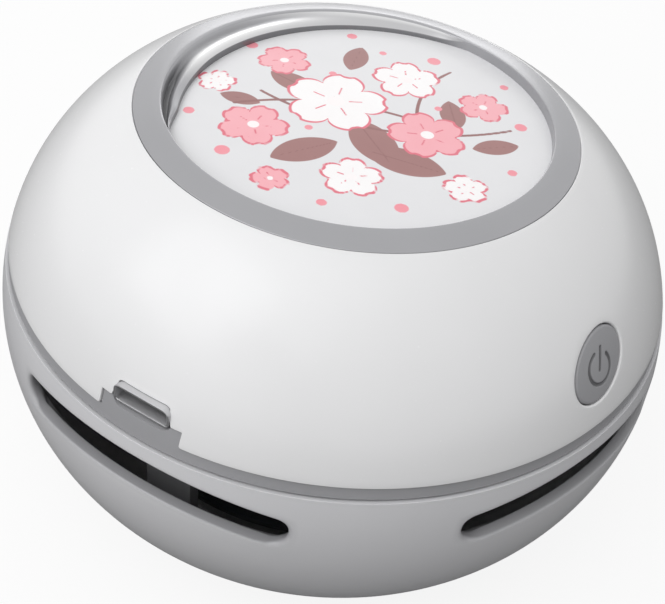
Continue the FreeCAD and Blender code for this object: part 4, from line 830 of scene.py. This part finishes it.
def button_cap():
    """Oval button that follows the dome, with a line and an open arc let into it."""
    centre, across, up, out = dome_place(BUTTON_AZ, BUTTON_HEIGHT)
    columns = 200
    angle = np.arange(columns) * 2 * np.pi / columns
    lean = np.radians(BUTTON_LEAN)
    round_edge = 0.28

    def outline(less):
        """Leaning oval points, drawn in by an even margin."""
        a = (BUTTON_LONG - less) * np.cos(angle)
        b = (BUTTON_SHORT - less) * np.sin(angle)
        return np.stack([a * math.cos(lean) - b * math.sin(lean),
                         a * math.sin(lean) + b * math.cos(lean)], axis=-1)

    shares = np.linspace(0, 1, 110)[:, None]
    ring = outline(round_edge)
    flat = ring[None] * shares[..., None]
    turn = np.radians(MARK_LEAN)
    dx, dy = flat[..., 0] - MARK_SIDE, flat[..., 1] + MARK_DROP
    mx = dx * math.cos(turn) + dy * math.sin(turn)
    my = -dx * math.sin(turn) + dy * math.cos(turn)
    reach = np.hypot(mx, my)
    opened = np.abs(np.degrees(np.arctan2(mx, my))) < MARK_OPEN
    end_x = MARK_RADIUS * math.sin(math.radians(MARK_OPEN))
    end_y = MARK_RADIUS * math.cos(math.radians(MARK_OPEN))
    ends = np.minimum(np.hypot(mx + end_x, my - end_y), np.hypot(mx - end_x, my - end_y))
    arc = np.where(opened, ends, np.abs(reach - MARK_RADIUS))
    bar = np.hypot(mx, my - np.clip(my, -0.2, 2.3))
    mark = np.minimum(arc, bar) - MARK_HALF
    depth = MARK_DEEP * smooth(mark, 0.08, -0.12)
    top = settle(centre + flat[..., 0:1] * across + flat[..., 1:2] * up, out, BUTTON_SUNK)
    top = top - out * depth[..., None]
    phi = np.linspace(0, np.pi / 2, 7)[1:]
    sides = [outline(round_edge * (1 - math.sin(p))) for p in phi]
    edge = np.stack([settle(centre + s[:, 0:1] * across + s[:, 1:2] * up, out, BUTTON_SUNK)
                     - out * round_edge * (1 - math.cos(p)) for s, p in zip(sides, phi)])
    base = centre - out * BUTTON_BACK
    rim = outline(0.0)
    flange = outline(-0.9)

    def level(flat_ring, rise):
        return base + flat_ring[:, 0:1] * across + flat_ring[:, 1:2] * up + out * rise

    tail = np.stack([level(rim, 0.75), level(flange, 0.75), level(flange, 0.0), level(flange * 0.3, 0.0),
                     level(flange * 0.28, -0.8), level(flange * 0.0, -0.8)])
    grid = np.concatenate([top, edge, tail])
    marks = np.zeros(grid.shape[:2])
    # The mark's groove is drawn in a darker grey than the cap
    marks[:len(top)] = smooth(mark, 0.1, -0.06)
    finish = toned(button_abs, "darker_groove", "groove", "#2f2f31", 0.7)
    return piece("button_cap", "button", finish,
                 [(grid, grid_faces(len(grid), columns, wrap_cols=True))], ["power_button"],
                 marks={"groove": marks})


def port_sleeve():
    """Steel sleeve of the port: rings of a rounded outline, tighter at its inner corners, carried
    from the back over a rolled front edge and down inside to its floor."""
    inner_corner = 0.3

    def ring(less, reach):
        """The outline drawn in by a margin at a distance from the axis."""
        x = PORT_WIDE / 2 - less
        z = PORT_TALL / 2 - less
        corner = PORT_CORNER - less * (PORT_CORNER - inner_corner) / PORT_SHEET
        flat = rounded([(-x, -z), (x, -z), (x, z), (-x, z)], [corner] * 4, 9)
        points = np.zeros((len(flat), 3))
        points[:, 0] = flat[:, 0]
        points[:, 1] = -reach
        points[:, 2] = PORT_HEIGHT + flat[:, 1]
        return points

    back = PORT_MOUTH - PORT_DEEP
    steps = [(0.0, back), (0.0, PORT_MOUTH - 0.1), (0.03, PORT_MOUTH - 0.03), (0.1, PORT_MOUTH),
             (PORT_SHEET - 0.09, PORT_MOUTH), (PORT_SHEET - 0.03, PORT_MOUTH - 0.03),
             (PORT_SHEET, PORT_MOUTH - 0.1), (PORT_SHEET, back + 1.0)]
    rings = [ring(less, reach) for less, reach in steps]
    inside = rings[-1].mean(axis=0, keepdims=True).repeat(len(rings[0]), axis=0)
    outside = rings[0].mean(axis=0, keepdims=True).repeat(len(rings[0]), axis=0)
    grid = np.stack([outside] + rings + [inside])
    return piece("port_sleeve", "upper_body", tin_plate,
                 [(grid, grid_faces(len(grid), grid.shape[1], wrap_cols=True))], ["charging_socket"])


def dress(material, *nodes):
    """Gives CAD nodes a finish."""
    for name in nodes:
        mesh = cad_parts[name].data
        mesh.materials.clear()
        mesh.materials.append(material)


# Camera and stage

def photo_camera():
    """Camera fitted to the rims in the photo. It stands between the port and the button."""
    turn = math.radians(VIEW_TURN)
    rise = math.radians(VIEW_RISE)
    roll = math.radians(VIEW_ROLL)
    back = Vector((math.sin(turn) * math.cos(rise), -math.cos(turn) * math.cos(rise), math.sin(rise)))
    right = Vector((math.cos(turn), math.sin(turn), 0.0))
    up = back.cross(right)
    across = right * math.cos(roll) + up * math.sin(roll)
    above = up * math.cos(roll) - right * math.sin(roll)
    place = Vector((0, 0, EQUATOR)) + back * VIEW_FAR + across * VIEW_SIDE + above * VIEW_UP
    data = bpy.data.cameras.new("photo_camera")
    data.sensor_width = 36.0
    data.lens = FOCAL_LENGTH / IMAGE_WIDE * data.sensor_width
    data.clip_start = 0.005
    data.clip_end = 20.0
    camera = bpy.data.objects.new("photo_camera", data)
    axes = Matrix((across, above, back)).transposed().to_4x4()
    camera.matrix_world = Matrix.Translation(place * MM) @ axes
    bpy.context.scene.collection.objects.link(camera)
    bpy.context.scene.camera = camera


def area_light(name, azimuth, height, reach, size, power):
    """A softbox at an azimuth, height and distance from the axis, aimed at the body's middle."""
    data = bpy.data.lights.new(name, "AREA")
    data.shape = "RECTANGLE"
    data.size, data.size_y = size
    data.energy = power
    made = bpy.data.objects.new(name, data)
    spot = Vector(direction(azimuth).tolist()) * reach + Vector((0, 0, height))
    made.location = spot
    made.rotation_mode = "QUATERNION"
    made.rotation_quaternion = (spot - Vector((0, 0, 0.03))).to_track_quat("Z", "Y")
    bpy.context.scene.collection.objects.link(made)


def stage():
    """Pale floor, white surround and soft lamps. The camera sees the floor nearly white, with the
    object's shadow on it, and the object sees it grey; the world is white to the camera, in
    reflections and through the cup, and dimmer as a light."""
    material, tree, out, place = blank("white_table")
    path = add(tree, "ShaderNodeLightPath")
    grain = add(tree, "ShaderNodeTexNoise", {"Scale": 40.0, "Detail": 3.0}, {"Vector": place})
    tint = add(tree, "ShaderNodeMix", {"data_type": "RGBA", 6: linear("#f4f4f4"), 7: linear("#fafafa")},
               {0: grain.outputs[0]})
    dull = add(tree, "ShaderNodeMix", {"data_type": "RGBA", 6: linear("#6a6a6a")},
               {0: path.outputs["Is Camera Ray"], 7: tint.outputs[2]})
    matt = add(tree, "ShaderNodeBsdfDiffuse", {}, {"Color": dull.outputs[2]})
    glow = add(tree, "ShaderNodeEmission", {"Strength": 1.0})
    seen = add(tree, "ShaderNodeMath", {"operation": "MULTIPLY", 1: 0.85},
               {0: path.outputs["Is Camera Ray"]})
    mixed = add(tree, "ShaderNodeMixShader", {},
                {0: seen.outputs[0], 1: matt.outputs[0], 2: glow.outputs[0]})
    tree.links.new(mixed.outputs[0], out.inputs[0])
    mesh = bpy.data.meshes.new("table_top")
    mesh.from_pydata([(-3, -3, 0), (3, -3, 0), (3, 3, 0), (-3, 3, 0)], [], [(0, 1, 2, 3)])
    mesh.materials.append(material)
    floor = bpy.data.objects.new("table_top", mesh)
    bpy.context.scene.collection.objects.link(floor)

    world = bpy.data.worlds.new("white_room")
    bpy.context.scene.world = world
    world.use_nodes = True
    tree = world.node_tree
    tree.nodes.clear()
    path = add(tree, "ShaderNodeLightPath")
    seen = add(tree, "ShaderNodeMath", {"operation": "MAXIMUM"},
               {0: path.outputs["Is Camera Ray"], 1: path.outputs["Is Transmission Ray"]})
    seen = add(tree, "ShaderNodeMath", {"operation": "MAXIMUM"},
               {0: seen.outputs[0], 1: path.outputs["Is Glossy Ray"]})
    strength = add(tree, "ShaderNodeMapRange", {"To Min": 0.64, "To Max": 1.0}, {"Value": seen.outputs[0]})
    room = add(tree, "ShaderNodeBackground", {"Color": (1, 1, 1, 1)}, {"Strength": strength.outputs[0]})
    add(tree, "ShaderNodeOutputWorld", {}, {0: room.outputs[0]})
    area_light("key_softbox", -32.0, 0.371, 0.366, (0.34, 0.34), 0.71)
    area_light("front_softbox", 0.0, 0.42, 0.225, (0.34, 0.34), 0.31)
    area_light("low_softbox", -10.0, 0.108, 0.443, (0.34, 0.34), 0.12)
    area_light("rear_strip", 207.0, 0.15, 0.435, (0.3, 0.13), 0.28)
    bpy.context.scene.view_settings.view_transform = "Standard"


photo_camera()
stage()
upper_dome()
lower_bowl()
trim_ring()
printed_disc()
button_cap()
port_sleeve()
dress(grey_frame, "mid_frame")
dress(black_abs, "intake_plate", "battery_cradle", "suction_nozzle")
dress(fan_nylon, "impeller")
dress(filter_pp, "filter_frame")
dress(filter_paper(), "filter_media")
dress(soft_rubber, "rubber_feet", "filter_seal", "motor_cushion")
dress(smoky_polycarbonate(), "dust_cup")
dress(dry_nylon, "motor_end_cap", "switch_plunger", "tactile_switch", "brush_ring")
dress(zinc_steel, "frame_screws", "motor_screws", "plate_screws", "board_screws",
      "switch_screws", "motor_shaft")
dress(drawn_steel, "motor_can")
dress(ferrite, "motor_magnets")
dress(bronze, "motor_bushings", "motor_terminals")
dress(lamination, "motor_armature")
dress(solder_mask(), "circuit_board", "protection_board", "switch_board")
dress(chip_epoxy, "board_components", "socket_tongue")
dress(shrink_sleeve, "battery_cell")
dress(red_pvc, "motor_leads", "battery_leads", "switch_leads")
